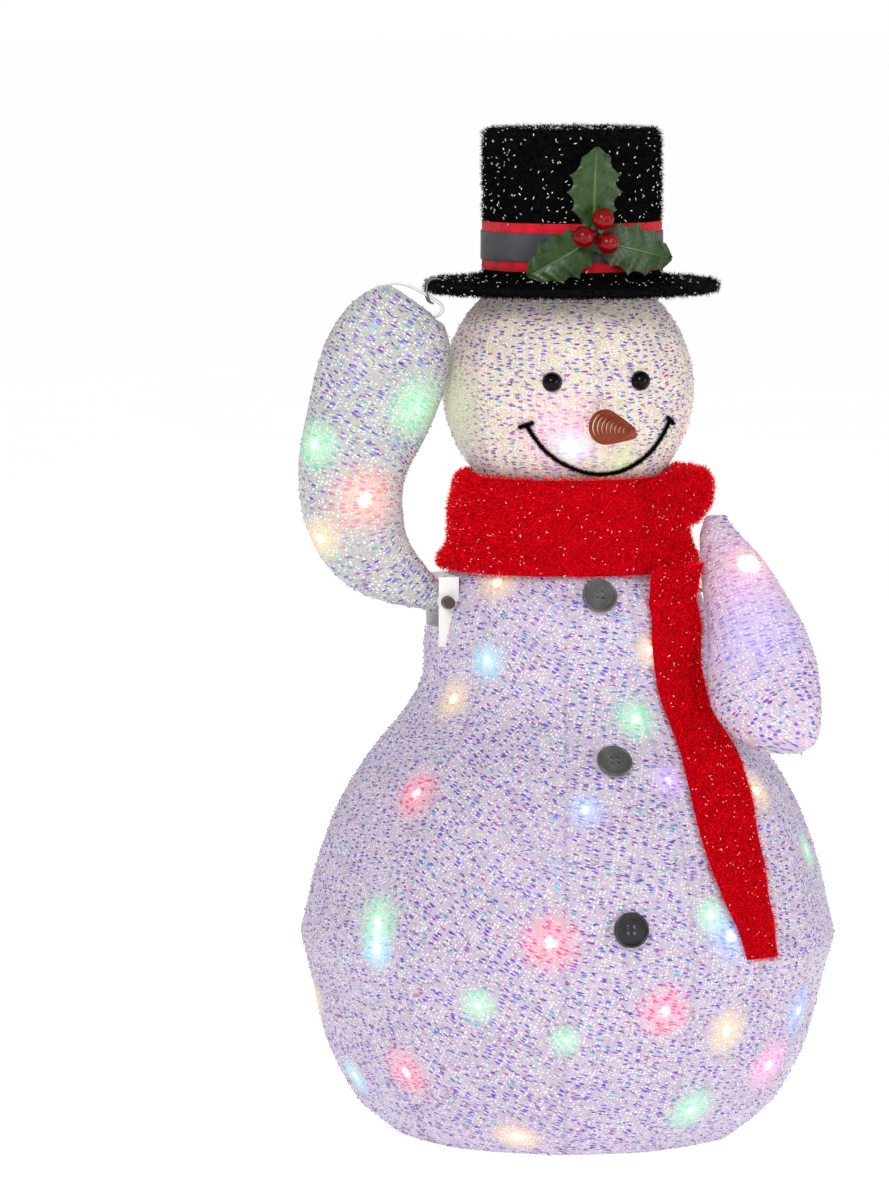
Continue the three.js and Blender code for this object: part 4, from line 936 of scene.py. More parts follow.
def make_wrap(rng):
    closed = metres(WRAP_OUTLINE)
    outline = smooth_curve([*closed, closed[0]], 57)[:-1][::-1]
    rows = []
    for degrees in np.arange(0, 360, 3.0):
        off = (degrees - FOLD["angle"] + 180) % 360 - 180
        near = math.exp(-((off / FOLD["spread"]) ** 2))
        ring = []
        for r, z in outline:
            up = math.sqrt(max(0.0, 1 - ((z - FOLD["z"]) / FOLD["half"]) ** 2))
            outer = min(max((r - 0.128) / 0.010, 0.0), 1.0)
            fall = 0.0016 * math.sin(math.radians(degrees * 5) + z * 90) * outer
            lift = FOLD["lift"] * near * min(max((r - 0.119) / 0.008, 0.0), 1.0)
            lift *= min(max((z - 0.770) / 0.015, 0.0), 1.0)
            ring.append(polar(r - 0.0022 * outer + fall + outer * FOLD["swell"] * near * up, degrees, z + lift))
        rows.append(ring)
    obj = skin("scarf_wrap_roll", [*rows, rows[0]])
    close_up(obj)
    smooth_all(obj)
    settle(obj, "root", "red_tinsel_ground", "red_tinsel", "scarf_wrap")

    def outside(middle, normal):
        out = (middle[:, 0] * normal[:, 0] + middle[:, 1] * normal[:, 1]) / np.hypot(middle[:, 0], middle[:, 1])
        return np.where(out > -0.3, 1.0, 0.04)

    scarf_pile(obj, "scarf_wrap_pile", WRAP_STRIPS, rng, outside)


def make_tail(rng):
    even = smooth_curve([(z * MM, a, w * MM) for z, a, w in TAIL], 90)
    across = np.linspace(-1, 1, 15)
    rows, reach = [], 0.0
    for k, (z, degrees, width) in enumerate(even):
        low = body_radius(min(z, 0.664)) + TAIL_CLEAR - 0.002 + 0.5 * max(0.0, z - 0.656)

        def place(u, radius):
            turn = degrees + math.degrees((u * width) / 2 / radius)
            return polar(radius, turn, z)

        wave = 0.0012 * math.sin(z * 95)
        back = [place(u, low) for u in across]
        front = [place(u, low + wave + TAIL_THICK * 0.72 * math.sqrt(1.02 - 0.9 * u * u)) for u in across[::-1]]
        rows.append(back + front)
        reach += math.hypot(z - even[k - 1][0], body_radius(z) - body_radius(even[k - 1][0])) if k else 0.0
    obj = skin("scarf_tail_strip", rows, close_start=True, close_end=True)
    close_up(obj)
    smooth(obj, 70)
    settle(obj, "root", "red_tinsel_ground", "red_tinsel", "scarf_tail")

    def outside(middle, normal):
        return ((middle[:, :2] * normal[:, :2]).sum(axis=1) > -0.02).astype(float)

    scarf_pile(obj, "scarf_tail_pile", TAIL_STRIPS, rng, outside)


# ---- Hat ------------------------------------------------------------------------------------------------------
CROWN_RADIUS, CROWN_TOP, BRIM_RADIUS, BRIM_BOTTOM, BRIM_TOP = 0.106, 1.205, 0.177, 1.012, 1.024
BAND_BOTTOM, BAND_HEIGHT, STRIPE_HEIGHT = 1.038, 0.058, 0.034
HAT_CENTRE = (HAT_X * MM, 0, 0)
HAT_STRIPS, HAT_STRIP_WIDTH, HAT_STRIP_BEND = 21000, (0.0009, 0.0016), 0.3


def make_hat(rng):
    r, top, under = CROWN_RADIUS - 0.0026, CROWN_TOP - 0.003, BRIM_TOP
    wall = [(r, z) for z in np.linspace(under, top - 0.004, 24)]
    curve = [(r - 0.004 + 0.004 * math.cos(t), top - 0.004 + 0.004 * math.sin(t)) for t in np.linspace(0.3, 1.5, 4)]
    roof = [(x, top - 0.0012 * (1 - x / r)) for x in np.linspace(r - 0.006, 0, 10)]
    inner = [(x, top - 0.0035) for x in np.linspace(0, r - 0.0025, 6)]
    inner += [(r - 0.0025, z) for z in np.linspace(top - 0.006, under, 12)]
    crown = turned("hat_crown_cloth", [*wall, *curve, *roof, *inner[1:]], 96, HAT_CENTRE)
    smooth(crown, 50)
    settle(crown, "raised_arm", "black_tinsel_ground", "black_tinsel", "hat_crown")

    inside, rim = CROWN_RADIUS - 0.003, BRIM_RADIUS - 0.003
    low, high = BRIM_BOTTOM + 0.002, BRIM_TOP - 0.002
    middle, half = (low + high) / 2, (high - low) / 2
    edge = [(rim - half + half * math.cos(t), middle + half * math.sin(t)) for t in np.linspace(-1.5, 1.5, 12)]
    under_side = [(x, low) for x in np.linspace(inside, rim - half, 10)]
    over_side = [(x, high + 0.009 * max(0.0, (0.145 - x) / 0.042) ** 2) for x in np.linspace(rim - half, inside, 16)]
    brim = turned("hat_brim_cloth", [*under_side, *edge, *over_side], 96, HAT_CENTRE)
    smooth(brim, 50)
    settle(brim, "raised_arm", "black_tinsel_ground", "black_tinsel", "hat_brim")

    def outside_crown(centre, normal):
        out = ((centre[:, 0] - HAT_CENTRE[0]) * normal[:, 0] + centre[:, 1] * normal[:, 1]) > 0.02
        behind_band = (centre[:, 2] > BAND_BOTTOM) & (centre[:, 2] < BAND_BOTTOM + BAND_HEIGHT)
        return (out & ~behind_band) | ((normal[:, 2] > 0.5) & (centre[:, 2] > CROWN_TOP - 0.02))

    points, normals = surface_sample(crown, HAT_STRIPS, rng, outside_crown)
    pile = strips("hat_crown_pile", points, normals, rng, (0.005, 0.0125), HAT_STRIP_WIDTH, PILE_RISE, HAT_STRIP_BEND,
                  glints=0.034)
    settle(pile, "raised_arm", "black_tinsel", "black_tinsel")

    def not_inner(centre, normal):
        return np.hypot(centre[:, 0] - HAT_CENTRE[0], centre[:, 1]) > CROWN_RADIUS + 0.001

    points, normals = surface_sample(brim, HAT_STRIPS, rng, not_inner)
    pile = strips("hat_brim_pile", points, normals, rng, (0.0045, 0.0115), HAT_STRIP_WIDTH, PILE_RISE, HAT_STRIP_BEND,
                  glints=0.02)
    settle(pile, "raised_arm", "black_tinsel", "black_tinsel")


def make_band():
    for name, node, radius, thick, z, high, material, slot in (
        ("ribbon_band", "hat_band", CROWN_RADIUS + 0.0004, 0.0012, BAND_BOTTOM, BAND_HEIGHT,
         "red_ribbon", "ribbon_red"),
        ("ribbon_stripe", "hat_band_stripe", CROWN_RADIUS + 0.0024, 0.0008,
         BAND_BOTTOM + (BAND_HEIGHT - STRIPE_HEIGHT) / 2, STRIPE_HEIGHT, "grey_satin", "satin_grey"),
    ):
        soft = thick * 0.4
        outer = [(radius + thick, z + soft)]
        outer += [(radius + thick, h) for h in np.linspace(z + soft, z + high - soft, 9)[1:]]
        outline = [(radius, z + soft), (radius + soft, z), (radius + thick - soft, z), *outer,
                   (radius + thick - soft, z + high), (radius + soft, z + high), (radius, z + high - soft)]
        obj = turned(name, outline, 144, HAT_CENTRE)
        smooth(obj, 50)
        settle(obj, "raised_arm", material, slot, node)


# ---- Holly ----------------------------------------------------------------------------------------------------
LEAVES = {  # turn in degrees, length, distance from the hat's axis, height of the stalk
    "holly_leaf_1": (0, 98, 111, 1089), "holly_leaf_2": (121, 88, 115, 1080), "holly_leaf_3": (-104, 104, 113, 1078),
}
LEAF_HALF, LEAF_THICK, LEAF_SPINES, LEAF_LIFT = 0.030, 0.0014, 4, 0.0015
BERRIES = ((-7.3, 1082), (2.6, 1103), (5.2, 1074.5))
BERRY_RADIUS, BERRY_REACH = 0.0132, 0.133


def leaf_width(share):
    """Half width of a holly leaf: spiny points with hollows between them."""
    body = math.sin(math.pi * min(share * 0.88 + 0.10, 1.0)) ** 0.8
    lobe = share * (LEAF_SPINES + 0.6)
    hollow = math.sin(math.pi * (lobe % 1.0)) ** 0.75
    return LEAF_HALF * body * (1.08 - 0.24 * hollow)


def make_leaves():
    for node, (turn, length, radius, z) in LEAVES.items():
        length, radius, z = length * MM, radius * MM, z * MM
        shares = np.linspace(0, 1, 93)
        across = np.linspace(-1, 1, 17)
        vertices, faces, corners = [], [], []
        roll = math.radians(turn)
        for s in shares:
            half = max(leaf_width(s), 0.0006)
            for u in across:
                x0, y0 = u * half, s * length + abs(u) * half * 0.12 * (1 - s)
                puff = 0.0034 * abs(u) - 0.0022 * u * u + 0.0014 * math.sin(abs(u) * 3 + s * 26) * abs(u)
                x = x0 * math.cos(roll) - y0 * math.sin(roll)
                y = x0 * math.sin(roll) + y0 * math.cos(roll)
                deep = puff + LEAF_LIFT / MM * (x * x + y * y) + LEAF_THICK
                place = polar(radius + deep, math.degrees(x / radius), z + y)
                vertices.append(place + Vector(HAT_CENTRE))
        wide = len(across)
        for i in range(len(shares) - 1):
            for j in range(wide - 1):
                faces.append((i * wide + j, i * wide + j + 1, (i + 1) * wide + j + 1, (i + 1) * wide + j))
                corners += [(across[j], shares[i]), (across[j + 1], shares[i]), (across[j + 1], shares[i + 1]),
                            (across[j], shares[i + 1])]
        obj = mesh_object(node.replace("holly", "green"), vertices, faces)
        write_uv(obj, "leaf", np.array(corners) * (0.5, 1.0) + (0.5, 0.0))
        apply_modifier(obj, "SOLIDIFY", thickness=LEAF_THICK, offset=-1.0, use_rim=True)
        smooth(obj, 50)
        settle(obj, "raised_arm", "holly_green", "leaf_green", node)


def make_berries():
    r = BERRY_RADIUS
    ball = [(r * math.sin(t), -r * math.cos(t)) for t in np.linspace(0, math.pi - 0.32, 26)]
    ball[0] = (0, -r)
    outline = [*ball, (r * 0.22, r * 0.93), (r * 0.14, r * 0.90), (0, r * 0.90)]
    for k, (degrees, z) in enumerate(BERRIES):
        obj = turned(f"berry_{k + 1}", outline, 40)
        obj.data.transform(facing(polar(1, degrees + (k - 1) * 6, -0.15 + 0.15 * k), (0, 0, 0)))
        obj.data.transform(Matrix.Translation(polar(BERRY_REACH, degrees, z * MM) + Vector(HAT_CENTRE)))
        smooth(obj, 60)
        settle(obj, "raised_arm", "berry_red", "berry_red", f"holly_berry_{k + 1}")


# ---- Metalwork and the rest -----------------------------------------------------------------------------------
CARRIER = ((-226, 999), (-237, 1013), (-228, 1023), (-212, 1026), (-190, 1017), (-172, 1006), (-158, 998), (-156, 988),
           (-170, 982))
SLOT_FINISHES = {
    "white_steel": "white_paint", "black_steel": "black_paint", "zinc_steel": "zinc_plate",
    "white_plastic": "white_nylon",
    "grey_plastic": "grey_plastic", "brown_rubber": "brown_rubber", "clear_wire": "clear_wire",
}


def make_carrier():
    path = [Vector((x, RAISED_ARM_Y, z)) * MM for x, z in CARRIER]
    obj = tube("hat_carrier_wire", path, 0.002, 12, 10)
    settle(obj, "raised_arm", "white_paint", "white_steel", "hat_carrier")


def paint_nodes():
    """Every CAD node that still shows takes its slot's finish."""
    for part in frame["record"]["subparts"]:
        name = SLOT_FINISHES.get(part["material_slot"])
        if name:
            for slot in NODES[part["node"]].material_slots:
                slot.material = finish(name)


# ---- Finishes -------------------------------------------------------------------------------------------------
BODY_LIGHT_SPREAD, STRIP_LIGHT_SPREAD = 0.82, 1.15  # share of each light's size, on the body's net and on strips


def body_lights(table):
    return [(tuple(polar(body_radius(max(z * MM, 0.01), a) + 0.001, a, z * MM)), colour, size * BODY_LIGHT_SPREAD)
            for a, z, colour, size in table]


def head_lights():
    return [(tuple(on_head(a, z * MM, 0.0)), colour, size) for a, z, colour, size in HEAD_LIGHTS]


def arm_lights(table):
    return [((x * MM, y * MM, z * MM), colour, size) for x, y, z, colour, size in table]


def strip_material(name, stops, rough, metallic, lights=(), shine=0.0, specular=0.4):
    """Film strips that pick one of several colours each, lit by the lights near them."""
    _, n, shader = new_material(name)
    pick = n.add("ShaderNodeSeparateXYZ", {0: uv(n, "pick")}).outputs
    colour = n.colours(pick[0], stops, "CONSTANT")
    shade = n.ramp(pick[1], 0.0, 1.0, 0.6, 1.15)
    colour = n.mix(1.0, colour, n.add("ShaderNodeCombineColor", {0: shade, 1: shade, 2: shade}).outputs[0], "MULTIPLY")
    if lights:
        here = object_coordinates(n)
        total = (0.0, 0.0, 0.0, 1.0)
        for (x, y, z), light, size in lights:
            total = use_group(n, "light_spot", {"Vector": here, "Centre": (x, y, z), "Colour": rgba(LIGHTS[light]),
                                                "Size": size * STRIP_LIGHT_SPREAD * MM, "Sum": total})["Sum"]
        parts = n.add("ShaderNodeSeparateColor", {0: total}, mode="HSV").outputs
        tint = n.add("ShaderNodeCombineColor", {0: parts[0], 1: parts[1], 2: 0.95}, mode="HSV").outputs[0]
        colour = n.mix(n.ramp(parts[2], 0.03, 0.5), colour, tint)
        n.put(shader.inputs["Emission Color"], n.mix(n.ramp(parts[2], 0.05, 0.7), (0, 0, 0, 1), tint))
        shader.inputs["Emission Strength"].default_value = shine
    # Painted light: with no lamps near, the strips glow in their own colour, which brightens the tinsel and its
    # glints.
    elif shine:
        n.put(shader.inputs["Emission Color"], colour)
        shader.inputs["Emission Strength"].default_value = shine
    n.put(shader.inputs["Base Color"], colour)
    n.put(shader.inputs["Roughness"], n.ramp(pick[1], 0.0, 1.0, rough, rough + 0.2))
    shader.inputs["Metallic"].default_value = metallic
    shader.inputs["Specular IOR Level"].default_value = specular


FLECK_COLOURS = [(0.0, (0.07, 0.04, 0.55)), (0.16, (0.16, 0.07, 0.75)), (0.30, (0.38, 0.07, 0.60)),
                 (0.40, (0.03, 0.22, 0.75)), (0.47, (0.60, 0.05, 0.34)), (0.53, (0.02, 0.48, 0.66)),
                 (0.58, (0.70, 0.66, 0.74)), (0.80, (0.95, 0.95, 0.95))]
# The last stop of the black and red strips is their glints' colour: painted highlights.
BLACK_STRIPS_AND_HIGHLIGHTS = [(0.0, (0.001, 0.001, 0.001)), (0.5, (0.003, 0.003, 0.003)), (0.88, (0.008, 0.008, 0.009)),
                (0.98, (1.0, 1.0, 1.0))]
RED_STRIPS_AND_HIGHLIGHTS = [(0.0, (0.56, 0.0, 0.004)), (0.3, (0.76, 0.001, 0.007)), (0.6, (0.95, 0.002, 0.012)),
              (0.98, (1.0, 0.62, 0.62))]


def ribbon_material(name, colour, dark, rough, ribs_per_metre, sheen):
    """Woven ribbon with fine cords running up it."""
    _, n, shader = new_material(name)
    here = n.add("ShaderNodeSeparateXYZ", {0: n.vector("SUBTRACT", object_coordinates(n), HAT_CENTRE)}).outputs
    turn = n.maths("ARCTAN2", here[0], here[1])
    cord = n.maths("SINE", n.maths("MULTIPLY", turn, ribs_per_metre * CROWN_RADIUS * math.tau))
    weft = n.maths("SINE", n.maths("MULTIPLY", here[2], 9000.0))
    wear = use_group(n, "hard_surface", {"Vector": object_coordinates(n), "Colour": rgba(colour), "Dark": rgba(dark),
                                         "Scale": 45.0, "Rough": rough})
    n.put(shader.inputs["Base Color"], n.mix(n.ramp(cord, -1.0, 0.2, 0.55, 0.0), wear["Colour"], rgba(dark)))
    n.put(shader.inputs["Roughness"], wear["Roughness"])
    shader.inputs["Sheen Weight"].default_value = sheen
    shader.inputs["Specular IOR Level"].default_value = 0.2
    bump(n, shader, n.maths("ADD", cord, n.maths("MULTIPLY", weft, 0.25)), 0.25 * MM, 0.6)


def holly_material():
    _, n, shader = new_material("holly_green")
    place = n.add("ShaderNodeSeparateXYZ", {0: uv(n, "leaf")}).outputs
    side = n.maths("ABSOLUTE", n.maths("SUBTRACT", place[0], 0.5))
    vein_place = n.maths("SUBTRACT", n.maths("MULTIPLY", place[1], 9.0), n.maths("MULTIPLY", side, 6.0))
    saw = n.maths("ABSOLUTE", n.maths("SUBTRACT", n.maths("FRACT", vein_place), 0.5))
    vein = n.maths("MAXIMUM", n.ramp(side, 0.035, 0.012), n.maths("MULTIPLY", n.ramp(saw, 0.07, 0.02), 0.6))
    cloud = n.add("ShaderNodeTexNoise", {"Vector": object_coordinates(n), "Scale": 90.0, "Detail": 4.0}).outputs[0]
    green = n.mix(n.ramp(cloud, 0.35, 0.7), (0.010, 0.034, 0.004, 1), (0.026, 0.062, 0.010, 1))
    n.put(shader.inputs["Base Color"], n.mix(vein, green, (0.07, 0.13, 0.03, 1)))
    n.put(shader.inputs["Roughness"], n.ramp(cloud, 0.3, 0.7, 0.24, 0.38))
    shader.inputs["Specular IOR Level"].default_value = 0.35
    bump(n, shader, n.maths("ADD", n.maths("MULTIPLY", vein, -0.6), n.maths("MULTIPLY", cloud, 0.5)), 0.9 * MM)


def nose_glow_material():
    """Cream cone that glows with the light inside it, its tone and glow changing in random patches."""
    _, n, shader = new_material("nose_glow")
    cloud = n.add("ShaderNodeTexNoise", {"Vector": object_coordinates(n), "Scale": 120.0, "Detail": 3.0}).outputs[0]
    n.put(shader.inputs["Base Color"], n.mix(n.ramp(cloud, 0.35, 0.7), (0.90, 0.80, 0.55, 1), (0.95, 0.90, 0.74, 1)))
    n.put(shader.inputs["Emission Color"], n.mix(n.ramp(cloud, 0.35, 0.7), (1.0, 0.80, 0.45, 1), (1.0, 0.92, 0.70, 1)))
    shader.inputs["Emission Strength"].default_value = 0.25
    n.put(shader.inputs["Roughness"], n.ramp(cloud, 0.3, 0.7, 0.4, 0.6))


def make_finishes(settings, trim):
    make_glow_group()
    make_knit_group()
    make_wear_group()
    ground, shade = tuple(settings.net_colour), tuple(settings.net_shade)
    body = body_lights(BODY_LIGHTS + BACK_LIGHTS)
    head = head_lights()
    right, left = arm_lights(RIGHT_ARM_LIGHTS), arm_lights(LEFT_ARM_LIGHTS)
    share, shine = settings.stroke_share, settings.light_strength
    net_material("body_net", ground, shade, body, share, 0.15, shine=shine)
    # The head's warm cream ground and shade are painted light from the lamps inside it, over the net's own pale
    # colour.
    net_material("head_net", (0.66, 0.58, 0.44), (0.59, 0.51, 0.40), head, share + 0.16, (0.25, 1.0), shine=shine)
    net_material("raised_arm_net", (0.45, 0.455, 0.40), (0.385, 0.385, 0.36), right, share + 0.04, 0.25, 12.0,
                 shine=shine)
    net_material("hanging_arm_net", (0.57, 0.46, 0.56), (0.50, 0.41, 0.50), left, share + 0.02, 0.2, -20.0,
                 shine=shine)
    for name, lights in (("body_flecks", body), ("head_flecks", head), ("raised_arm_flecks", right),
                         ("hanging_arm_flecks", left)):
        strip_material(name, FLECK_COLOURS, 0.18, 0.55, lights, shine * 0.7)
    strip_material("black_tinsel", BLACK_STRIPS_AND_HIGHLIGHTS, 0.5, 0.0, shine=0.25, specular=0.03)
    strip_material("mouth_pile", BLACK_STRIPS_AND_HIGHLIGHTS[:3], 0.5, 0.0, specular=0.05)
    strip_material("red_tinsel", RED_STRIPS_AND_HIGHLIGHTS, 0.5, 0.0, shine=0.35, specular=0.03)
    hard_material("black_tinsel_ground", (0.003, 0.003, 0.003), (0.006, 0.006, 0.006), 0.8, scale=220.0, bump_mm=0.8,
                  specular=0.03)
    hard_material("red_tinsel_ground", (0.40, 0.0, 0.006), (0.28, 0.0, 0.004), 0.7, scale=220.0, bump_mm=0.8,
                  specular=0.03)
    hard_material("black_gloss", (0.001, 0.001, 0.001), (0.002, 0.002, 0.002), 0.12, bump_mm=0.01, specular=0.14)
    hard_material("button_black", (0.010, 0.009, 0.010), (0.022, 0.020, 0.020), 0.30, coat=0.15, bump_mm=0.03)
    hard_material("button_bronze", (0.055, 0.055, 0.052), (0.10, 0.10, 0.095), 0.35, coat=0.15, bump_mm=0.03)
    hard_material("copper_cord", (0.24, 0.040, 0.012), (0.13, 0.014, 0.005), 0.30, scale=150.0, specular=0.25)
    hard_material("white_paint", (0.80, 0.80, 0.78), (0.70, 0.70, 0.68), 0.38, coat=0.2)
    hard_material("black_paint", (0.02, 0.02, 0.02), (0.04, 0.04, 0.04), 0.45)
    hard_material("zinc_plate", (0.55, 0.56, 0.58), (0.40, 0.41, 0.42), 0.33, metallic=1.0)
    hard_material("white_nylon", (0.66, 0.62, 0.74), (0.56, 0.52, 0.64), 0.5)
    hard_material("grey_plastic", (0.32, 0.33, 0.34), (0.26, 0.27, 0.28), 0.5, scale=120.0)
    hard_material("brown_rubber", (0.060, 0.022, 0.016), (0.035, 0.014, 0.011), 0.5, coat=0.2)
    hard_material("clear_wire", (0.66, 0.70, 0.66), (0.52, 0.56, 0.53), 0.3)
    hard_material("berry_red", (0.21, 0.0, 0.002), (0.12, 0.0, 0.001), 0.13, scale=55.0, bump_mm=0.02, specular=0.22)
    ribbon_material("red_ribbon", tuple(trim.ribbon_colour), (0.36, 0.0, 0.008), 0.6, 900.0, 0.05)
    ribbon_material("grey_satin", (0.085, 0.085, 0.095), (0.05, 0.05, 0.058), 0.4, 2200.0, 0.0)
    holly_material()
    nose_glow_material()


# ---- Stage ----------------------------------------------------------------------------------------------------
CAMERA_TURN, CAMERA_RISE, CAMERA_AWAY, CAMERA_LENS = -12.5, 5.5, 9.0, 225.0
CAMERA_SIDE, CAMERA_HEIGHT = -0.1482, 0.640
FLOOR_GLOW, ROOM_LIGHT = 0.58, 0.45


def area_light(name, place, aim, size, power, colour=(1, 1, 1)):
    data = bpy.data.lights.new(name, "AREA")
    data.shape, data.size, data.energy, data.color = "DISK", size, power, colour
    light = bpy.data.objects.new(name, data)
    bpy.context.scene.collection.objects.link(light)
    light.matrix_world = (Matrix.Translation(place)
                          @ (Vector(aim) - Vector(place)).to_track_quat("-Z", "Y").to_matrix().to_4x4())
    light.visible_camera = False


def make_stage():
    bpy.ops.mesh.primitive_grid_add(x_subdivisions=8, y_subdivisions=8, size=120)
    floor = bpy.context.object
    floor.name = "studio_floor"
    material, n, shader = new_material("studio_floor")
    cloud = n.add("ShaderNodeTexNoise", {"Vector": object_coordinates(n), "Scale": 1.5, "Detail": 2.0}).outputs[0]
    n.put(shader.inputs["Base Color"], n.mix(cloud, (0.88, 0.88, 0.88, 1), (0.92, 0.92, 0.92, 1)))
    shader.inputs["Roughness"].default_value = 0.9
    shader.inputs["Emission Color"].default_value = (1, 1, 1, 1)
    shader.inputs["Emission Strength"].default_value = FLOOR_GLOW
    floor.data.materials.append(material)

    world = bpy.data.worlds.new("studio")
    bpy.context.scene.world = world
    world.use_nodes = True
    backing = world.node_tree.nodes["Background"]
    backing.inputs["Color"].default_value = (1, 1, 1, 1)
    backing.inputs["Strength"].default_value = ROOM_LIGHT
    seen = world.node_tree.nodes.new("ShaderNodeBackground")
    seen.inputs["Color"].default_value = (1, 1, 1, 1)
    blend = world.node_tree.nodes.new("ShaderNodeMixShader")
    path = world.node_tree.nodes.new("ShaderNodeLightPath")
    links = world.node_tree.links
    links.new(path.outputs["Is Camera Ray"], blend.inputs[0])
    links.new(backing.outputs[0], blend.inputs[1])
    links.new(seen.outputs[0], blend.inputs[2])
    links.new(blend.outputs[0], world.node_tree.nodes["World Output"].inputs["Surface"])

    aim = (0, 0, 0.65)
    area_light("key", (-2.0, -3.6, 3.0), aim, 1.8, 110)
    area_light("fill", (3.0, -3.0, 1.4), aim, 2.2, 52)
    area_light("back", (0.8, 3.4, 2.6), aim, 2.2, 50)

    turn, rise = math.radians(CAMERA_TURN), math.radians(CAMERA_RISE)
    back = Vector((math.sin(turn) * math.cos(rise), -math.cos(turn) * math.cos(rise), math.sin(rise)))
    target = Vector((math.cos(turn), math.sin(turn), 0)) * CAMERA_SIDE + Vector((0, 0, CAMERA_HEIGHT))
    data = bpy.data.cameras.new("camera")
    data.lens = CAMERA_LENS
    camera = bpy.data.objects.new("camera", data)
    bpy.context.scene.collection.objects.link(camera)
    camera.matrix_world = (Matrix.Translation(target + back * CAMERA_AWAY)
                           @ back.to_track_quat("Z", "Y").to_matrix().to_4x4())
    bpy.context.scene.camera = camera
    bpy.context.scene.view_settings.view_transform = "Standard"


# ---- Add-on ---------------------------------------------------------------------------------------------------
class SnowmanSettings(bpy.types.PropertyGroup):
    net_colour: bpy.props.FloatVectorProperty(
        name="Net colour", description="Pale ground of the net", default=(0.51, 0.44, 0.51), subtype="COLOR",
        min=0.0, max=1.0)
    net_shade: bpy.props.FloatVectorProperty(
        name="Net shade", description="Darker patches of the net", default=(0.44, 0.375, 0.455), subtype="COLOR",
        min=0.0, max=1.0)
    stroke_share: bpy.props.FloatProperty(
        name="Stroke share", description="How many of the net's cells carry a dark stroke", default=0.46, min=0.0,
        max=1.0, subtype="FACTOR")
    flecks: bpy.props.FloatProperty(
        name="Flecks", description="Raised film strips on each square metre of net", default=11000.0, min=0.0)
    light_strength: bpy.props.FloatProperty(
        name="Light strength", description="Brightness of the lights through the net", default=0.9, min=0.0)


class SnowmanTrimSettings(bpy.types.PropertyGroup):
    ribbon_colour: bpy.props.FloatVectorProperty(
        name="Ribbon colour", description="Colour of the hat's ribbon", default=(0.72, 0.005, 0.02), subtype="COLOR",
        min=0.0, max=1.0)
    seed: bpy.props.IntProperty(
        name="Seed", description="Changes how the tinsel falls", default=20, min=0)


class SNOWMAN_OT_stage(bpy.types.Operator):
    """Set out the pale floor, the soft lights and the camera"""
    bl_idname = "snowman.stage"
    bl_label = "Stage"

    def execute(self, context):
        make_stage()
        return {"FINISHED"}


class SNOWMAN_OT_finishes(bpy.types.Operator):
    """Mix every finish that the pieces take"""
    bl_idname = "snowman.finishes"
    bl_label = "Finishes"

    def execute(self, context):
        make_finishes(context.scene.snowman, context.scene.snowman_trim)
        return {"FINISHED"}


class SNOWMAN_OT_body_cover(bpy.types.Operator):
    """Stretch the net over the body's frame"""
    bl_idname = "snowman.body_cover"
    bl_label = "Body net"

    def execute(self, context):
        make_body_cover(context.scene.snowman)
        return {"FINISHED"}


class SNOWMAN_OT_head_cover(bpy.types.Operator):
    """Stretch the net over the head's frame"""
    bl_idname = "snowman.head_cover"
    bl_label = "Head net"

    def execute(self, context):
        make_head_cover(context.scene.snowman)
        return {"FINISHED"}


class SNOWMAN_OT_arm_covers(bpy.types.Operator):
    """Stretch the net over both arms"""
    bl_idname = "snowman.arm_covers"
    bl_label = "Arm nets"

    def execute(self, context):
        make_arm_covers(context.scene.snowman)
        return {"FINISHED"}


class SNOWMAN_OT_face(bpy.types.Operator):
    """Make the bead eyes, the wound nose and the chenille mouth"""
    bl_idname = "snowman.face"
    bl_label = "Face"

    def execute(self, context):
        make_eyes()
        make_nose()
        make_mouth(np.random.default_rng(context.scene.snowman_trim.seed))
        return {"FINISHED"}


class SNOWMAN_OT_buttons(bpy.types.Operator):
    """Turn the coat buttons and drill their four holes"""
    bl_idname = "snowman.buttons"
    bl_label = "Buttons"

    def execute(self, context):
        make_buttons()
        return {"FINISHED"}


class SNOWMAN_OT_scarf(bpy.types.Operator):
    """Wind the tinsel scarf and hang its end"""
    bl_idname = "snowman.scarf"
    bl_label = "Scarf"

    def execute(self, context):
        seed = context.scene.snowman_trim.seed
        make_wrap(np.random.default_rng(seed + 1))
        make_tail(np.random.default_rng(seed + 2))
        return {"FINISHED"}


class SNOWMAN_OT_hat(bpy.types.Operator):
    """Make the top hat, its tinsel and its ribbon"""
    bl_idname = "snowman.hat"
    bl_label = "Top hat"

    def execute(self, context):
        make_hat(np.random.default_rng(context.scene.snowman_trim.seed + 3))
        make_band()
        return {"FINISHED"}


class SNOWMAN_OT_holly(bpy.types.Operator):
    """Make the three holly leaves and their berries"""
    bl_idname = "snowman.holly"
    bl_label = "Holly"

    def execute(self, context):
        make_leaves()
        make_berries()
        return {"FINISHED"}


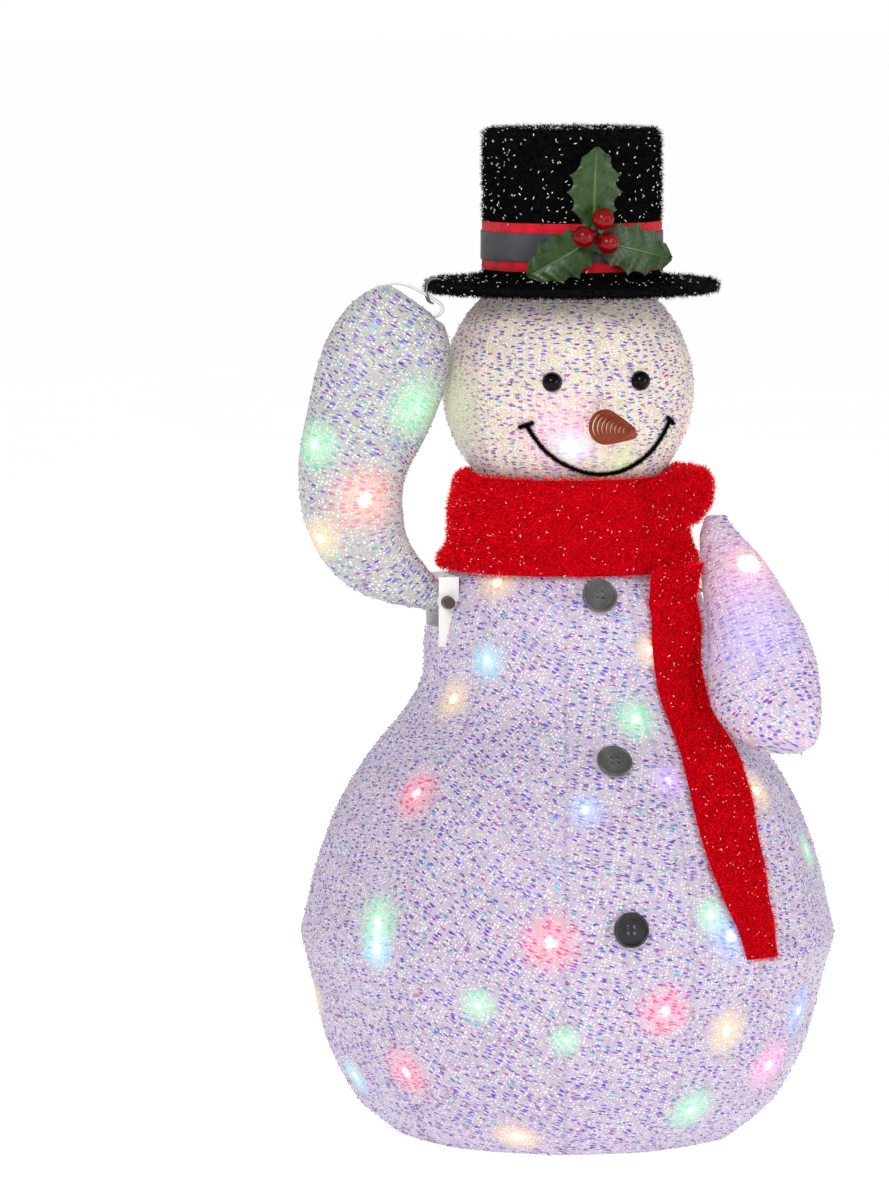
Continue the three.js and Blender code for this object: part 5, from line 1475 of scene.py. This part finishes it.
class SNOWMAN_OT_metalwork(bpy.types.Operator):
    """Bend the hat's carrying wire and paint the frame, the pivot, the drive and the lights"""
    bl_idname = "snowman.metalwork"
    bl_label = "Metalwork"

    def execute(self, context):
        make_carrier()
        paint_nodes()
        return {"FINISHED"}


OPERATORS = (
    SNOWMAN_OT_stage, SNOWMAN_OT_finishes, SNOWMAN_OT_body_cover, SNOWMAN_OT_head_cover, SNOWMAN_OT_arm_covers,
    SNOWMAN_OT_face, SNOWMAN_OT_buttons, SNOWMAN_OT_scarf, SNOWMAN_OT_hat, SNOWMAN_OT_holly, SNOWMAN_OT_metalwork,
)


class SNOWMAN_PT_pieces(bpy.types.Panel):
    """Lists the snowman's settings, colours and pieces"""
    bl_idname = "SNOWMAN_PT_pieces"
    bl_label = "Yard Snowman"
    bl_space_type = "VIEW_3D"
    bl_region_type = "UI"
    bl_category = "Snowman"

    def draw(self, context):
        for group_name in ("snowman", "snowman_trim"):
            settings = getattr(context.scene, group_name)
            for key in settings.__annotations__:
                self.layout.prop(settings, key)
        for operator in OPERATORS:
            self.layout.operator(operator.bl_idname)


CLASSES = (SnowmanSettings, SnowmanTrimSettings, *OPERATORS, SNOWMAN_PT_pieces)


def register():
    for each in CLASSES:
        bpy.utils.register_class(each)
    bpy.types.Scene.snowman = bpy.props.PointerProperty(type=SnowmanSettings)
    bpy.types.Scene.snowman_trim = bpy.props.PointerProperty(type=SnowmanTrimSettings)


def unregister():
    del bpy.types.Scene.snowman_trim
    del bpy.types.Scene.snowman
    for each in reversed(CLASSES):
        bpy.utils.unregister_class(each)


def main():
    register()
    bpy.ops.snowman.stage()
    bpy.ops.snowman.finishes()
    bpy.ops.snowman.body_cover()
    bpy.ops.snowman.head_cover()
    bpy.ops.snowman.arm_covers()
    bpy.ops.snowman.face()
    bpy.ops.snowman.buttons()
    bpy.ops.snowman.scarf()
    bpy.ops.snowman.hat()
    bpy.ops.snowman.holly()
    bpy.ops.snowman.metalwork()


if __name__ == "__main__":
    main()
